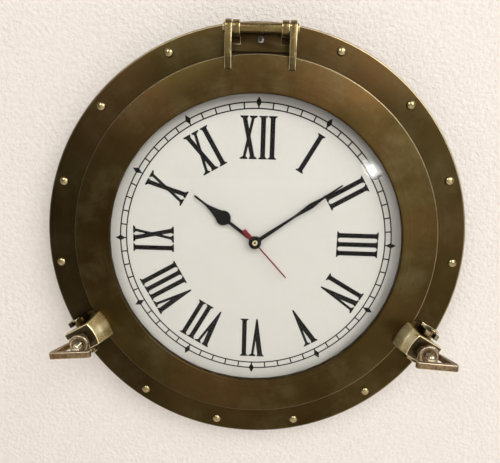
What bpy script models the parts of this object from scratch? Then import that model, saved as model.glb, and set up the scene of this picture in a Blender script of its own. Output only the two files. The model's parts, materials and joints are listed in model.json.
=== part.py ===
# Porthole clock: a brass ship's window whose glazed door is hinged at the top and held shut by two swing
# dogs with eye nuts, over a quartz clock with Roman numerals.
# The pieces are modelled as seen on the wall: X is right, Y is up and Z comes out of the wall. One empty
# stands that frame up, so that in the world +Z is up, the clock faces -Y and the wall is the plane Y = 0.

import math

import bmesh
import bpy
from mathutils import Matrix, Vector

# Clearances and facets
GAP = 0.0003
OVERRUN = 0.002
MERGE_DISTANCE = 0.00001
ROUND_STEPS = 48
ROD_STEPS = 24
SMALL_STEPS = 12
CORNER_STEPS = 3
SHARP_ANGLE = math.radians(35)

# Base ring, screwed to the wall side of everything else
BASE_RADIUS = 0.1905
BASE_DEPTH = 0.032
FLANGE_THICKNESS = 0.007
SKIRT_THICKNESS = 0.004
BASE_EDGE_RADIUS = 0.0015
BOSS_COUNT = 4
BOSS_RADIUS = 0.005
RIM_SCREW_INSET = 0.0094
RIM_SCREW_CIRCLE = BASE_RADIUS - RIM_SCREW_INSET
RIM_STATION_COUNT = 15
RIM_PHASE = math.radians(1.65)
RIM_HEAD_RADIUS = 0.0036
RIM_HEAD_HEIGHT = 0.0022
RIM_SHANK_RADIUS = 0.0017

# Hinge at the top and dogs a third of a turn to each side
SUPPORT_COUNT = 3
HINGE_ANGLE = math.radians(90)
DOG_ANGLES = {
    "left": HINGE_ANGLE + math.tau / SUPPORT_COUNT,
    "right": HINGE_ANGLE - math.tau / SUPPORT_COUNT,
}

# Door ring, which leaves a border of the base in view all round
BASE_BORDER = 0.02785
DOOR_RING_WIDTH = 0.03245
DOOR_RADIUS = BASE_RADIUS - BASE_BORDER
DOOR_OPENING = DOOR_RADIUS - DOOR_RING_WIDTH
DOOR_CLEARANCE = 0.001
DOOR_EDGE_HEIGHT = 0.0101
DOOR_LIP_HEIGHT = 0.0122
DOOR_ROUND = 0.0014
LIP_THICKNESS = 0.0022
GLASS_SEAT_WIDTH = 0.0068
CLAMP_SEAT_WIDTH = 0.008

# Glass and what holds it
GLASS_THICKNESS = 0.0025
GLASS_GASKET_THICKNESS = 0.0006
CLAMP_THICKNESS = 0.0016
CLAMP_SCREW_COUNT = 8
CLAMP_SCREW_DEPTH = 0.0026
SMALL_SHANK_RADIUS = 0.0012
SMALL_HEAD_RADIUS = 0.0024
SMALL_HEAD_HEIGHT = 0.0012

# Rubber ring between base and door, outside the seat of the clamp ring
DOOR_GASKET_LAND = 0.005
DOOR_GASKET_INNER = DOOR_OPENING + GLASS_SEAT_WIDTH + CLAMP_SEAT_WIDTH + DOOR_GASKET_LAND
DOOR_GASKET_WIDTH = 0.005
DOOR_GASKET_GROOVE = 0.002

# Dial, let in inside the rubber ring
DIAL_LAND = 0.004
DIAL_RADIUS = DOOR_GASKET_INNER - DIAL_LAND
DIAL_THICKNESS = 0.0012
DIAL_SETBACK = 0.0029
DIAL_LEDGE = 0.008
DIAL_FOOT_COUNT = 4
DIAL_FOOT_RADIUS = 0.0012

# Backboard, its battery hatch and the wall hanger
BACKBOARD_THICKNESS = 0.005
BACK_SCREW_RADIUS = 0.0015
BACK_SCREW_LENGTH = 0.013
BACK_HEAD_RADIUS = 0.0032
BACK_HEAD_HEIGHT = 0.0016
HATCH_RADIUS = 0.052
HATCH_THICKNESS = 0.0025
HATCH_LEDGE = 0.006
HATCH_SCREW_COUNT = 2
HANGER_INSET = 0.0142
HANGER_WIDTH = 0.024
HANGER_THICKNESS = 0.0015
KEYHOLE_RADIUS = 0.005
KEYHOLE_SLOT_RADIUS = 0.0026
KEYHOLE_TRAVEL = 0.012
HEAD_ROOM = 0.002
HANGER_SCREW_LAND = 0.0045
HANGER_SCREW_INSET = 0.0045
HANGER_SCREW_DISTANCE = KEYHOLE_TRAVEL / 2 + KEYHOLE_RADIUS + HEAD_ROOM + HANGER_SCREW_LAND
HANGER_LENGTH = (HANGER_SCREW_DISTANCE + HANGER_SCREW_INSET) * 2

# Hinge
HINGE_PIN_INSET = 0.008
HINGE_PIN_UP = BASE_RADIUS - HINGE_PIN_INSET
HINGE_PIN_OUT = 0.0095
HINGE_PIN_RADIUS = 0.0041
HINGE_PIN_END = 0.0019
PIN_END_CHAMFER = 0.0006
KNUCKLE_INNER = 0.0172
KNUCKLE_WIDTH = 0.0062
KNUCKLE_RADIUS = 0.0062
ARM_PLAY = 0.0006
ARM_WIDTH = 0.0056
ARM_RADIUS = 0.0065
ARM_BACK_DEPTH = 0.0053
ARM_REACH = 0.01315
ARM_TIP_UP = DOOR_RADIUS - ARM_REACH
ARM_TIP_THICKNESS = 0.0007
ARM_ROOT_THICKNESS = 0.0047
ARM_WAIST = 0.0095
BRACKET_THICKNESS = 0.003
BRACKET_HALF_WIDTH = 0.026
BRACKET_NOTCH_HALF_WIDTH = 0.019
BRACKET_CLEARANCE = 0.00225
BRACKET_WING_HEIGHT = 0.0071
BRACKET_NOTCH_HEIGHT = 0.0045
BRACKET_BORDER = 0.0035
BRACKET_SCREW_RISE = 0.0025
BRACKET_BOTTOM = DOOR_RADIUS + BRACKET_CLEARANCE
BRACKET_STEP = BRACKET_BOTTOM + BRACKET_WING_HEIGHT
BRACKET_NOTCH_TOP = BRACKET_STEP + BRACKET_NOTCH_HEIGHT
BRACKET_TOP = BASE_RADIUS - BRACKET_BORDER
BRACKET_SCREW_UP = BRACKET_STEP + BRACKET_SCREW_RISE
BRACKET_HEAD_RADIUS = 0.0031
BRACKET_HEAD_HEIGHT = 0.0015
BRACKET_SHANK_RADIUS = 0.0016

# Lugs on the door: an inner wall that rises from the rim and a slotted plate that the nut clamps
LUG_FOOT_BORDER = 0.00045
LUG_FOOT_DEPTH = 0.0052
LUG_LEAN = 0.005
LUG_WALL_THICKNESS = 0.0055
LUG_FOOT_OUTER = DOOR_RADIUS - LUG_FOOT_BORDER
LUG_FOOT_INNER = LUG_FOOT_OUTER - LUG_FOOT_DEPTH
LUG_TOP_INNER = LUG_FOOT_INNER + LUG_LEAN
LUG_WALL_TOP = LUG_TOP_INNER + LUG_WALL_THICKNESS
LUG_BOLT_DISTANCE = 0.0075
LUG_HORN_LENGTH = 0.012
BOLT_CIRCLE = LUG_WALL_TOP + LUG_BOLT_DISTANCE
LUG_OUTER = BOLT_CIRCLE + LUG_HORN_LENGTH
LUG_HEIGHT = 0.030
LUG_BULGE = 0.0011
LUG_PLATE_THICKNESS = 0.0044
LUG_FILLET = 0.003
LUG_FOOT_WIDTH = 0.025
LUG_TOP_WIDTH = 0.021

# Dogs: an eye bolt that swings on a pin between two ears, with a loop nut
BOLT_RADIUS = 0.0032
BOLT_END = 0.047
BOLT_CHAMFER = 0.0008
SLOT_CLEARANCE = 0.0018
DOG_PIVOT_OFFSET = 0.006
DOG_PIVOT_RADIUS = BOLT_CIRCLE + DOG_PIVOT_OFFSET
DOG_PIVOT_HEIGHT = 0.0103
DOG_PIN_RADIUS = 0.0025
DOG_PIN_HEAD_RADIUS = 0.0039
DOG_PIN_HEAD = 0.0015
EYE_RADIUS = 0.0062
EYE_HALF_WIDTH = 0.008
EAR_INNER = 0.0115
EAR_WIDTH = 0.0043
EAR_INWARD = 0.0095
EAR_OUTWARD = 0.007
EAR_START = DOG_PIVOT_RADIUS - EAR_INWARD
EAR_END = DOG_PIVOT_RADIUS + EAR_OUTWARD
EAR_HEIGHT = 0.0153
EAR_ROUND = 0.0026
EAR_SINK = 0.001
FOOT_TOE = 0.0065
FOOT_HEEL = 0.0005
FOOT_START = EAR_START - FOOT_TOE
FOOT_END = EAR_END + FOOT_HEEL
FOOT_THICKNESS = 0.0025
STUD_INSET = 0.003
STUD_CIRCLE = FOOT_START + STUD_INSET
STUD_SIDE = 0.0068
STUD_RADIUS = 0.002
NUT_SLACK = 0.0012
NUT_RADIUS = 0.009
NUT_FOOT_RADIUS = 0.0056
NUT_TAPER_HEIGHT = 0.0046
NUT_BOSS_HEIGHT = 0.0088
LOOP_THICKNESS = 0.0043
LOOP_BAR_LENGTH = 0.0344
LOOP_HEIGHT = 0.0288
LOOP_BAR_THICKNESS = 0.0038
LOOP_ROOT_HEIGHT = 0.0052
LOOP_ROOT_INSET = 0.0008
LOOP_LIMB_THICKNESS = 0.0026
LOOP_CORNER = 0.0018
LOOP_TURNS = {"left": math.radians(4.8), "right": math.radians(-3.2)}
# each bolt stands clamped a little off the middle of its slot: outwards, and along the rim
DOG_PLAY = {"left": (0, 0.0014), "right": (0.0011, 0.0009)}

# Quartz movement
CASE_DEPTH = 0.0148
CASE_WALL = 0.0012
BAY_WALL_UP = -0.010
WASHER_THICKNESS = 0.0005
WASHER_RADIUS = 0.010
WHEEL_THICKNESS = 0.0012
PLATE_TOP_UP = 0.0175
BUSH_RADIUS = 0.004
BUSH_BORE = 0.0029
BUSH_TOP = 0.0024
SHAFT_NUT_RADIUS = 0.0058
SHAFT_NUT_THICKNESS = 0.0016
HOUR_TUBE_RADIUS = 0.0026
HOUR_TUBE_BORE = 0.0019
MINUTE_TUBE_RADIUS = 0.0016
MINUTE_TUBE_BORE = 0.0009
ARBOR_RADIUS = 0.0006
TOOTH_HEIGHT = 0.0004
TOOTH_PITCH = 0.003
MOTION_SPACING = 0.0088
MINUTE_TO_MOTION = 3
MOTION_TO_HOUR = 4
THIRD_SPACING = 0.009
SECOND_TO_THIRD = 8
THIRD_TO_MINUTE = 7.5
INTERMEDIATE_SPACING = 0.0072
INTERMEDIATE_TO_SECOND = 5
ROTOR_SPACING = 0.0063
ROTOR_TO_INTERMEDIATE = 6
TRAIN_ANGLE = math.radians(60)
MAGNET_RADIUS = 0.0026
STATOR_MARGIN = 0.0034
STATOR_THICKNESS = 0.001
COIL_RADIUS = 0.003
COIL_FLANGE_RADIUS = 0.0036
COIL_LENGTH = 0.022
COIL_FLANGE_THICKNESS = 0.001
BOARD_LENGTH = 0.013
BOARD_WIDTH = 0.009
KNOB_RADIUS = 0.0055
KNOB_HEIGHT = 0.003
KNOB_RIB_COUNT = 18
BATTERY_RADIUS = 0.00715
BATTERY_BODY = 0.0495
BATTERY_NUB = 0.001
BATTERY_NUB_RADIUS = 0.00275
CONTACT_WIDTH = 0.010
CONTACT_ROOM = 0.00155
CASE_WIDTH = BATTERY_BODY + BATTERY_NUB + (CONTACT_ROOM + CASE_WALL) * 2

# Hands, as clockwise angles from XII
HAND_THICKNESS = 0.0006
HOUR_ANGLE = math.radians(306.4)
MINUTE_ANGLE = math.radians(54.7)
SECOND_ANGLE = math.radians(137.5)
HAND_SPACING = 0.0009
HOUR_LENGTH = 0.0693
HOUR_BOSS_RADIUS = 0.005
HOUR_STEM_HALF_WIDTH = 0.0015
HOUR_BLOB_RADIUS = 0.0069
HOUR_BLOB_PLACE = 0.0365
HOUR_NEEDLE_HALF_WIDTH = 0.0009
MINUTE_LENGTH = 0.094
MINUTE_BOSS_RADIUS = 0.0058
MINUTE_HALF_WIDTH = 0.0027
SECOND_LENGTH = 0.0434
SECOND_TAIL = 0.0156
SECOND_BOSS_RADIUS = 0.0056
SECOND_NEEDLE_HALF_WIDTH = 0.0005
SECOND_TAIL_HALF_WIDTH = 0.0015
CAP_RADIUS = 0.00245
CAP_STEM_RADIUS = 0.0013
CAP_HEIGHT = 0.0009

# Heights above the wall that several pieces share
FACE = BASE_DEPTH
FLANGE_BACK = FACE - FLANGE_THICKNESS
SKIRT_INNER = BASE_RADIUS - SKIRT_THICKNESS
BOSS_CIRCLE = SKIRT_INNER - BOSS_RADIUS - BASE_EDGE_RADIUS
DIAL_FRONT = FACE - DIAL_SETBACK
DIAL_BACK = DIAL_FRONT - DIAL_THICKNESS
DIAL_SEAT = DIAL_BACK - GAP
DIAL_REBATE = DIAL_RADIUS + GAP
BASE_OPENING = DIAL_REBATE - DIAL_LEDGE
DIAL_FOOT_CIRCLE = DIAL_REBATE - DIAL_LEDGE / 2
DOOR_BACK = FACE + DOOR_CLEARANCE
LIP_BACK = FACE + DOOR_LIP_HEIGHT - LIP_THICKNESS
GLASS_SEAT_RADIUS = DOOR_OPENING + GLASS_SEAT_WIDTH
CLAMP_SEAT_RADIUS = GLASS_SEAT_RADIUS + CLAMP_SEAT_WIDTH
CLAMP_SCREW_CIRCLE = GLASS_SEAT_RADIUS + CLAMP_SEAT_WIDTH / 2
GLASS_GASKET_BACK = LIP_BACK - GAP - GLASS_GASKET_THICKNESS
GLASS_FRONT = GLASS_GASKET_BACK - GAP
GLASS_BACK = GLASS_FRONT - GLASS_THICKNESS
HINGE_OUT = FACE + HINGE_PIN_OUT
ARM_INNER = KNUCKLE_INNER + KNUCKLE_WIDTH + ARM_PLAY
ARM_OUTER = ARM_INNER + ARM_WIDTH
LUG_TOP = FACE + LUG_HEIGHT
NUT_FOOT = LUG_TOP + NUT_SLACK
BACKBOARD_RADIUS = SKIRT_INNER - GAP
HANGER_HEIGHT = BACKBOARD_RADIUS - HANGER_INSET - HANGER_LENGTH / 2
CASE_FRONT = DIAL_BACK - GAP - WASHER_THICKNESS - GAP
CASE_INNER = CASE_FRONT - CASE_WALL
CASE_RIM = CASE_FRONT - CASE_DEPTH
COVER_FRONT = CASE_RIM - GAP
COVER_BACK = COVER_FRONT - CASE_WALL
CASE_HALF = CASE_WIDTH / 2
ROOM_HALF = CASE_HALF - CASE_WALL
HOUR_HAND_BACK = DIAL_FRONT + GAP + SHAFT_NUT_THICKNESS + HAND_SPACING
MINUTE_HAND_BACK = HOUR_HAND_BACK + HAND_THICKNESS + HAND_SPACING
SECOND_HAND_BACK = MINUTE_HAND_BACK + HAND_THICKNESS + HAND_SPACING
CAP_BACK = SECOND_HAND_BACK + HAND_THICKNESS + GAP


# Materials: name, colour, roughness, metallic, alpha
FINISHES = {
    "aged_brass": ((0.10, 0.075, 0.035), 0.42, 1.0, 1.0),
    "bright_brass": ((0.55, 0.44, 0.24), 0.30, 1.0, 1.0),
    "pale_brass": ((0.62, 0.54, 0.36), 0.28, 1.0, 1.0),
    "bronze": ((0.42, 0.34, 0.29), 0.32, 1.0, 1.0),
    "steel": ((0.48, 0.48, 0.47), 0.38, 1.0, 1.0),
    "dial_white": ((0.80, 0.78, 0.72), 0.55, 0.0, 1.0),
    "glass": ((0.92, 0.95, 0.94), 0.02, 0.0, 0.25),
    "rubber": ((0.03, 0.03, 0.03), 0.80, 0.0, 1.0),
    "fibreboard": ((0.33, 0.23, 0.14), 0.85, 0.0, 1.0),
    "hand_black": ((0.012, 0.011, 0.010), 0.45, 0.0, 1.0),
    "hand_red": ((0.22, 0.012, 0.014), 0.45, 0.0, 1.0),
    "black_plastic": ((0.02, 0.02, 0.022), 0.50, 0.0, 1.0),
    "white_plastic": ((0.75, 0.74, 0.70), 0.50, 0.0, 1.0),
    "board_green": ((0.05, 0.20, 0.10), 0.55, 0.0, 1.0),
    "copper": ((0.55, 0.25, 0.12), 0.40, 1.0, 1.0),
    "battery_sleeve": ((0.08, 0.10, 0.14), 0.40, 0.0, 1.0),
}
materials = {}


def make_materials():
    for name, (colour, roughness, metallic, alpha) in FINISHES.items():
        material = bpy.data.materials.new(name)
        material.use_nodes = True
        shader = material.node_tree.nodes["Principled BSDF"]
        shader.inputs["Base Color"].default_value = (*colour, 1)
        shader.inputs["Roughness"].default_value = roughness
        shader.inputs["Metallic"].default_value = metallic
        shader.inputs["Alpha"].default_value = alpha
        materials[name] = material


# Points and meshes
def polar(radius, angle):
    return radius * math.cos(angle), radius * math.sin(angle)


def arc(centre, radius, start, end, steps):
    points = []
    for step in range(steps + 1):
        x, y = polar(radius, start + (end - start) * step / steps)
        points.append((centre[0] + x, centre[1] + y))
    return points


def mirrored(points):
    # the right half of an outline, bottom to top, and its left half, top to bottom
    return points + [(-x, y) for x, y in reversed(points) if x != 0]


def turned(outline, steps=ROUND_STEPS):
    # a solid turned about Z from an outline of (radius, height) points
    mesh = bmesh.new()
    rim = [mesh.verts.new((radius, 0, height)) for radius, height in outline]
    edges = [mesh.edges.new(pair) for pair in zip(rim, rim[1:])]
    if outline[0][0] or outline[-1][0]:
        edges.append(mesh.edges.new((rim[-1], rim[0])))
    bmesh.ops.spin(
        mesh, geom=rim + edges, axis=(0, 0, 1), cent=(0, 0, 0), angle=math.tau, steps=steps, use_merge=True
    )
    bmesh.ops.remove_doubles(mesh, verts=mesh.verts, dist=MERGE_DISTANCE)
    return mesh


def disc(radius, low, high, steps=ROD_STEPS):
    return turned([(0, low), (radius, low), (radius, high), (0, high)], steps)


def ring(inner, outer, low, high, steps=ROUND_STEPS):
    return turned([(inner, low), (outer, low), (outer, high), (inner, high)], steps)


def extruded(outline, low, high):
    # a flat outline of (x, y) points given a thickness along Z
    mesh = bmesh.new()
    face = mesh.faces.new([mesh.verts.new((x, y, low)) for x, y in outline])
    grown = bmesh.ops.extrude_face_region(mesh, geom=[face])
    top = [item for item in grown["geom"] if isinstance(item, bmesh.types.BMVert)]
    bmesh.ops.translate(mesh, verts=top, vec=(0, 0, high - low))
    return mesh


def box(left, right, bottom, top, low, high):
    return extruded([(left, bottom), (right, bottom), (right, top), (left, top)], low, high)


def moved(mesh, matrix):
    bmesh.ops.transform(mesh, matrix=matrix, verts=mesh.verts)
    return mesh


def shifted(mesh, x, y, z=0):
    return moved(mesh, Matrix.Translation((x, y, z)))


def sideways(mesh):
    # an outline of (height out of the wall, up) points, extruded across the clock
    return moved(mesh, Matrix.Rotation(-math.pi / 2, 4, "Y"))


def crossways(mesh):
    # an outline of (radius, height) points in a dog's frame, extruded along the rim
    return moved(mesh, Matrix.Rotation(math.pi / 2, 4, "X"))


def copies(mesh, places):
    # one mesh with a copy at each place
    unit = bpy.data.meshes.new("unit")
    mesh.to_mesh(unit)
    mesh.free()
    whole = bmesh.new()
    for place in places:
        before = len(whole.verts)
        whole.from_mesh(unit)
        whole.verts.ensure_lookup_table()
        bmesh.ops.transform(whole, matrix=place, verts=whole.verts[before:])
    bpy.data.meshes.remove(unit)
    return whole


def gathered(meshes):
    # one mesh that holds several separate ones
    whole = bmesh.new()
    for mesh in meshes:
        unit = bpy.data.meshes.new("unit")
        mesh.to_mesh(unit)
        mesh.free()
        whole.from_mesh(unit)
        bpy.data.meshes.remove(unit)
    return whole


def circle_places(radius, angles):
    return [Matrix.Rotation(angle, 4, "Z") @ Matrix.Translation((radius, 0, 0)) for angle in angles]


def even_angles(count, start=0):
    return [start + math.tau * index / count for index in range(count)]


# Objects
def add_object(name, mesh, parent, location=(0, 0, 0), rotation=0):
    bmesh.ops.recalc_face_normals(mesh, faces=mesh.faces)
    data = bpy.data.meshes.new(name)
    mesh.to_mesh(data)
    mesh.free()
    data.shade_smooth()
    data.set_sharp_from_angle(angle=SHARP_ANGLE)
    item = bpy.data.objects.new(name, data)
    bpy.context.scene.collection.objects.link(item)
    item.parent = parent
    item.location = location
    item.rotation_euler = (0, 0, rotation)
    return item


def add_piece(name, mesh, finish, parent, location=(0, 0, 0), rotation=0):
    item = add_object(name, mesh, parent, location, rotation)
    material = materials[finish].copy()
    material.name = name
    item.data.materials.append(material)
    return item


def add_empty(name, parent, location=(0, 0, 0), rotation=(0, 0, 0)):
    item = bpy.data.objects.new(name, None)
    bpy.context.scene.collection.objects.link(item)
    item.parent = parent
    item.location = location
    item.rotation_euler = rotation
    return item


def apply_boolean(item, operation, mesh):
    guide = add_object(f"{item.name}_{operation.lower()}", mesh, item)
    guide.hide_render = True
    guide.display_type = "WIRE"
    modifier = item.modifiers.new(operation.title(), "BOOLEAN")
    modifier.operation = operation
    modifier.solver = "EXACT"
    modifier.object = guide


def cut(item, mesh):
    apply_boolean(item, "DIFFERENCE", mesh)


def join(item, mesh):
    apply_boolean(item, "UNION", mesh)


# Fasteners
def domed_screw(head_radius, head_height, shank_radius, seat, length):
    # head on a seat that faces +Z, shank below it
    outline = [(0, seat - length), (shank_radius, seat - length), (shank_radius, seat + GAP)]
    outline.append((head_radius, seat + GAP))
    for step in range(1, CORNER_STEPS):
        angle = math.pi / 2 * step / CORNER_STEPS
        outline.append((head_radius * math.cos(angle), seat + GAP + head_height * math.sin(angle)))
    outline.append((0, seat + GAP + head_height))
    return turned(outline, SMALL_STEPS)


def hex_nut(bore, radius, low, high):
    # a ring of twelve sides whose every other outer edge is drawn in to the flats
    sides = 6
    steps = sides * 2
    mesh = ring(bore, radius, low, high, steps)
    for vertex in mesh.verts:
        place = round(math.atan2(vertex.co.y, vertex.co.x) / (math.tau / steps))
        if place % 2 and vertex.co.xy.length > (bore + radius) / 2:
            vertex.co.xy *= math.cos(math.pi / sides)
    return mesh


def rim_angles():
    angles = even_angles(RIM_STATION_COUNT, HINGE_ANGLE)
    taken = RIM_STATION_COUNT // SUPPORT_COUNT
    return [angle + RIM_PHASE for index, angle in enumerate(angles) if index % taken]


# Base
def boss_places():
    return circle_places(BOSS_CIRCLE, even_angles(BOSS_COUNT))


def dial_foot_places():
    return circle_places(DIAL_FOOT_CIRCLE, even_angles(DIAL_FOOT_COUNT, math.tau / DIAL_FOOT_COUNT / 2))


def stud_places():
    # the two studs of one dog bracket, in its own frame
    return [Matrix.Translation((STUD_CIRCLE, side, 0)) for side in (-STUD_SIDE, STUD_SIDE)]


def base_ring(face):
    outline = [(BASE_RADIUS, 0)]
    corner = (BASE_RADIUS - BASE_EDGE_RADIUS, FACE - BASE_EDGE_RADIUS)
    outline += arc(corner, BASE_EDGE_RADIUS, 0, math.pi / 2, CORNER_STEPS)
    groove_outer = DOOR_GASKET_INNER + DOOR_GASKET_WIDTH + GAP
    groove_inner = DOOR_GASKET_INNER - GAP
    groove_floor = FACE - DOOR_GASKET_GROOVE
    outline += [(groove_outer, FACE), (groove_outer, groove_floor)]
    outline += [(groove_inner, groove_floor), (groove_inner, FACE)]
    outline += [(DIAL_REBATE, FACE), (DIAL_REBATE, DIAL_SEAT)]
    outline += [(BASE_OPENING, DIAL_SEAT), (BASE_OPENING, FLANGE_BACK)]
    outline += [(SKIRT_INNER, FLANGE_BACK), (SKIRT_INNER, 0)]
    item = add_piece("base_ring", turned(outline), "aged_brass", face)
    boss_low = BACKBOARD_THICKNESS + GAP
    boss = disc(BOSS_RADIUS, boss_low, FLANGE_BACK + OVERRUN, SMALL_STEPS)
    join(item, copies(boss, boss_places()))
    low = FLANGE_BACK - OVERRUN
    high = FACE + OVERRUN
    rim_hole = disc(RIM_SHANK_RADIUS + GAP, low, high, SMALL_STEPS)
    foot_hole = disc(DIAL_FOOT_RADIUS + GAP, low, high, SMALL_STEPS)
    stud_hole = disc(STUD_RADIUS + GAP, low, high, SMALL_STEPS)
    stations = [Matrix.Rotation(angle, 4, "Z") for angle in DOG_ANGLES.values()]
    hinge_hole = disc(BRACKET_SHANK_RADIUS + GAP, low, high, SMALL_STEPS)
    boss_hole = disc(BACK_SCREW_RADIUS + GAP, boss_low - OVERRUN, BACK_SCREW_LENGTH + GAP, SMALL_STEPS)
    holes = [
        copies(rim_hole, circle_places(RIM_SCREW_CIRCLE, rim_angles())),
        copies(foot_hole, dial_foot_places()),
        copies(stud_hole, [station @ place for station in stations for place in stud_places()]),
        shifted(hinge_hole, 0, BRACKET_SCREW_UP),
        copies(boss_hole, boss_places()),
    ]
    cut(item, gathered(holes))


def rim_screws(face):
    for index, angle in enumerate(rim_angles(), 1):
        screw = domed_screw(RIM_HEAD_RADIUS, RIM_HEAD_HEIGHT, RIM_SHANK_RADIUS, FACE, FLANGE_THICKNESS)
        location = (*polar(RIM_SCREW_CIRCLE, angle), 0)
        add_piece(f"rim_screw_{index:02d}", screw, "pale_brass", face, location, angle)


def door_gasket(face):
    low = FACE - DOOR_GASKET_GROOVE + GAP
    outer = DOOR_GASKET_INNER + DOOR_GASKET_WIDTH
    add_piece("door_gasket", ring(DOOR_GASKET_INNER, outer, low, DOOR_BACK - GAP), "rubber", face)


def dial(face):
    outline = [(BUSH_RADIUS + GAP, DIAL_BACK), (DIAL_RADIUS, DIAL_BACK)]
    outline += [(DIAL_RADIUS, DIAL_FRONT), (BUSH_RADIUS + GAP, DIAL_FRONT)]
    item = add_piece("dial_plate", turned(outline), "dial_white", face)
    # feet on its back pass through the ledge and are riveted over behind it
    foot = disc(DIAL_FOOT_RADIUS, FLANGE_BACK, DIAL_BACK + DIAL_THICKNESS / 2, SMALL_STEPS)
    join(item, copies(foot, dial_foot_places()))


# Back
def screw_well(head_radius, head_height, shank_radius, depth):
    # room for a screw driven from behind, its head inside the wall plane
    outline = [(0, -OVERRUN), (head_radius + GAP, -OVERRUN), (head_radius + GAP, head_height + GAP)]
    outline += [(shank_radius + GAP, head_height + GAP), (shank_radius + GAP, depth), (0, depth)]
    return turned(outline, SMALL_STEPS)


def hatch_screw_places():
    radius = HATCH_RADIUS - HATCH_LEDGE / 2
    return circle_places(radius, even_angles(HATCH_SCREW_COUNT))


def hanger_screw_places():
    places = []
    for side in (-1, 1):
        up = HANGER_HEIGHT + side * HANGER_SCREW_DISTANCE
        places.append(Matrix.Translation((0, up, 0)))
    return places


def keyhole(low, high, grow=0):
    # the round hole that the wall screw's head enters, and the slot above it
    top = HANGER_HEIGHT + KEYHOLE_TRAVEL / 2
    bottom = HANGER_HEIGHT - KEYHOLE_TRAVEL / 2
    big = KEYHOLE_RADIUS + grow
    small = KEYHOLE_SLOT_RADIUS + grow
    meet = math.acos(small / big)
    outline = arc((0, bottom), big, math.pi - meet, math.tau + meet, SMALL_STEPS)
    outline += arc((0, top), small, 0, math.pi, SMALL_STEPS // 2)
    return extruded(outline, low, high)


def backboard(face):
    item = add_piece(
        "backboard", disc(BACKBOARD_RADIUS, 0, BACKBOARD_THICKNESS, ROUND_STEPS), "fibreboard", face
    )
    well = screw_well(
        BACK_HEAD_RADIUS, BACK_HEAD_HEIGHT, BACK_SCREW_RADIUS, BACKBOARD_THICKNESS + OVERRUN
    )
    hatch_hole = SMALL_SHANK_RADIUS + GAP
    hatch_wells = disc(hatch_hole, -OVERRUN, BACKBOARD_THICKNESS + OVERRUN, SMALL_STEPS)
    seat = HATCH_THICKNESS + GAP
    opening = turned(
        [
            (0, -OVERRUN),
            (HATCH_RADIUS + GAP, -OVERRUN),
            (HATCH_RADIUS + GAP, seat),
            (HATCH_RADIUS - HATCH_LEDGE, seat),
            (HATCH_RADIUS - HATCH_LEDGE, BACKBOARD_THICKNESS + OVERRUN),
            (0, BACKBOARD_THICKNESS + OVERRUN),
        ]
    )
    half_width = HANGER_WIDTH / 2 + GAP
    low = HANGER_HEIGHT - HANGER_LENGTH / 2 - GAP
    high = HANGER_HEIGHT + HANGER_LENGTH / 2 + GAP
    pocket = box(-half_width, half_width, low, high, -OVERRUN, HANGER_THICKNESS + GAP)
    cut(item, gathered([copies(well, boss_places()), opening, pocket]))
    hanger_hole = disc(SMALL_SHANK_RADIUS + GAP, 0, BACKBOARD_THICKNESS + OVERRUN, SMALL_STEPS)
    holes = [
        copies(hatch_wells, hatch_screw_places()),
        copies(hanger_hole, hanger_screw_places()),
        keyhole(0, BACKBOARD_THICKNESS + OVERRUN, HEAD_ROOM),
    ]
    cut(item, gathered(holes))


def back_hatch(face):
    item = add_piece(
        "battery_hatch", disc(HATCH_RADIUS, 0, HATCH_THICKNESS, ROUND_STEPS), "black_plastic", face
    )
    well = screw_well(
        SMALL_HEAD_RADIUS, SMALL_HEAD_HEIGHT, SMALL_SHANK_RADIUS, HATCH_THICKNESS + OVERRUN
    )
    cut(item, copies(well, hatch_screw_places()))


def hanger(face):
    half_width = HANGER_WIDTH / 2
    low = HANGER_HEIGHT - HANGER_LENGTH / 2
    high = HANGER_HEIGHT + HANGER_LENGTH / 2
    plate = box(-half_width, half_width, low, high, 0, HANGER_THICKNESS)
    item = add_piece("keyhole_hanger", plate, "steel", face)
    hole = disc(SMALL_SHANK_RADIUS + GAP, -OVERRUN, HANGER_THICKNESS + OVERRUN, SMALL_STEPS)
    well = disc(SMALL_HEAD_RADIUS + GAP, -OVERRUN, HANGER_THICKNESS / 2, SMALL_STEPS)
    cut(item, keyhole(-OVERRUN, HANGER_THICKNESS + OVERRUN))
    cut(item, copies(hole, hanger_screw_places()))
    cut(item, copies(well, hanger_screw_places()))


# Hinge
def door_face(radius):
    # height of the door ring's front face, which rises from the rim to the opening
    outer = DOOR_RADIUS - DOOR_ROUND
    inner = DOOR_OPENING + DOOR_ROUND
    share = (outer - radius) / (outer - inner)
    return FACE + DOOR_EDGE_HEIGHT + (DOOR_LIP_HEIGHT - DOOR_EDGE_HEIGHT) * share


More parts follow.
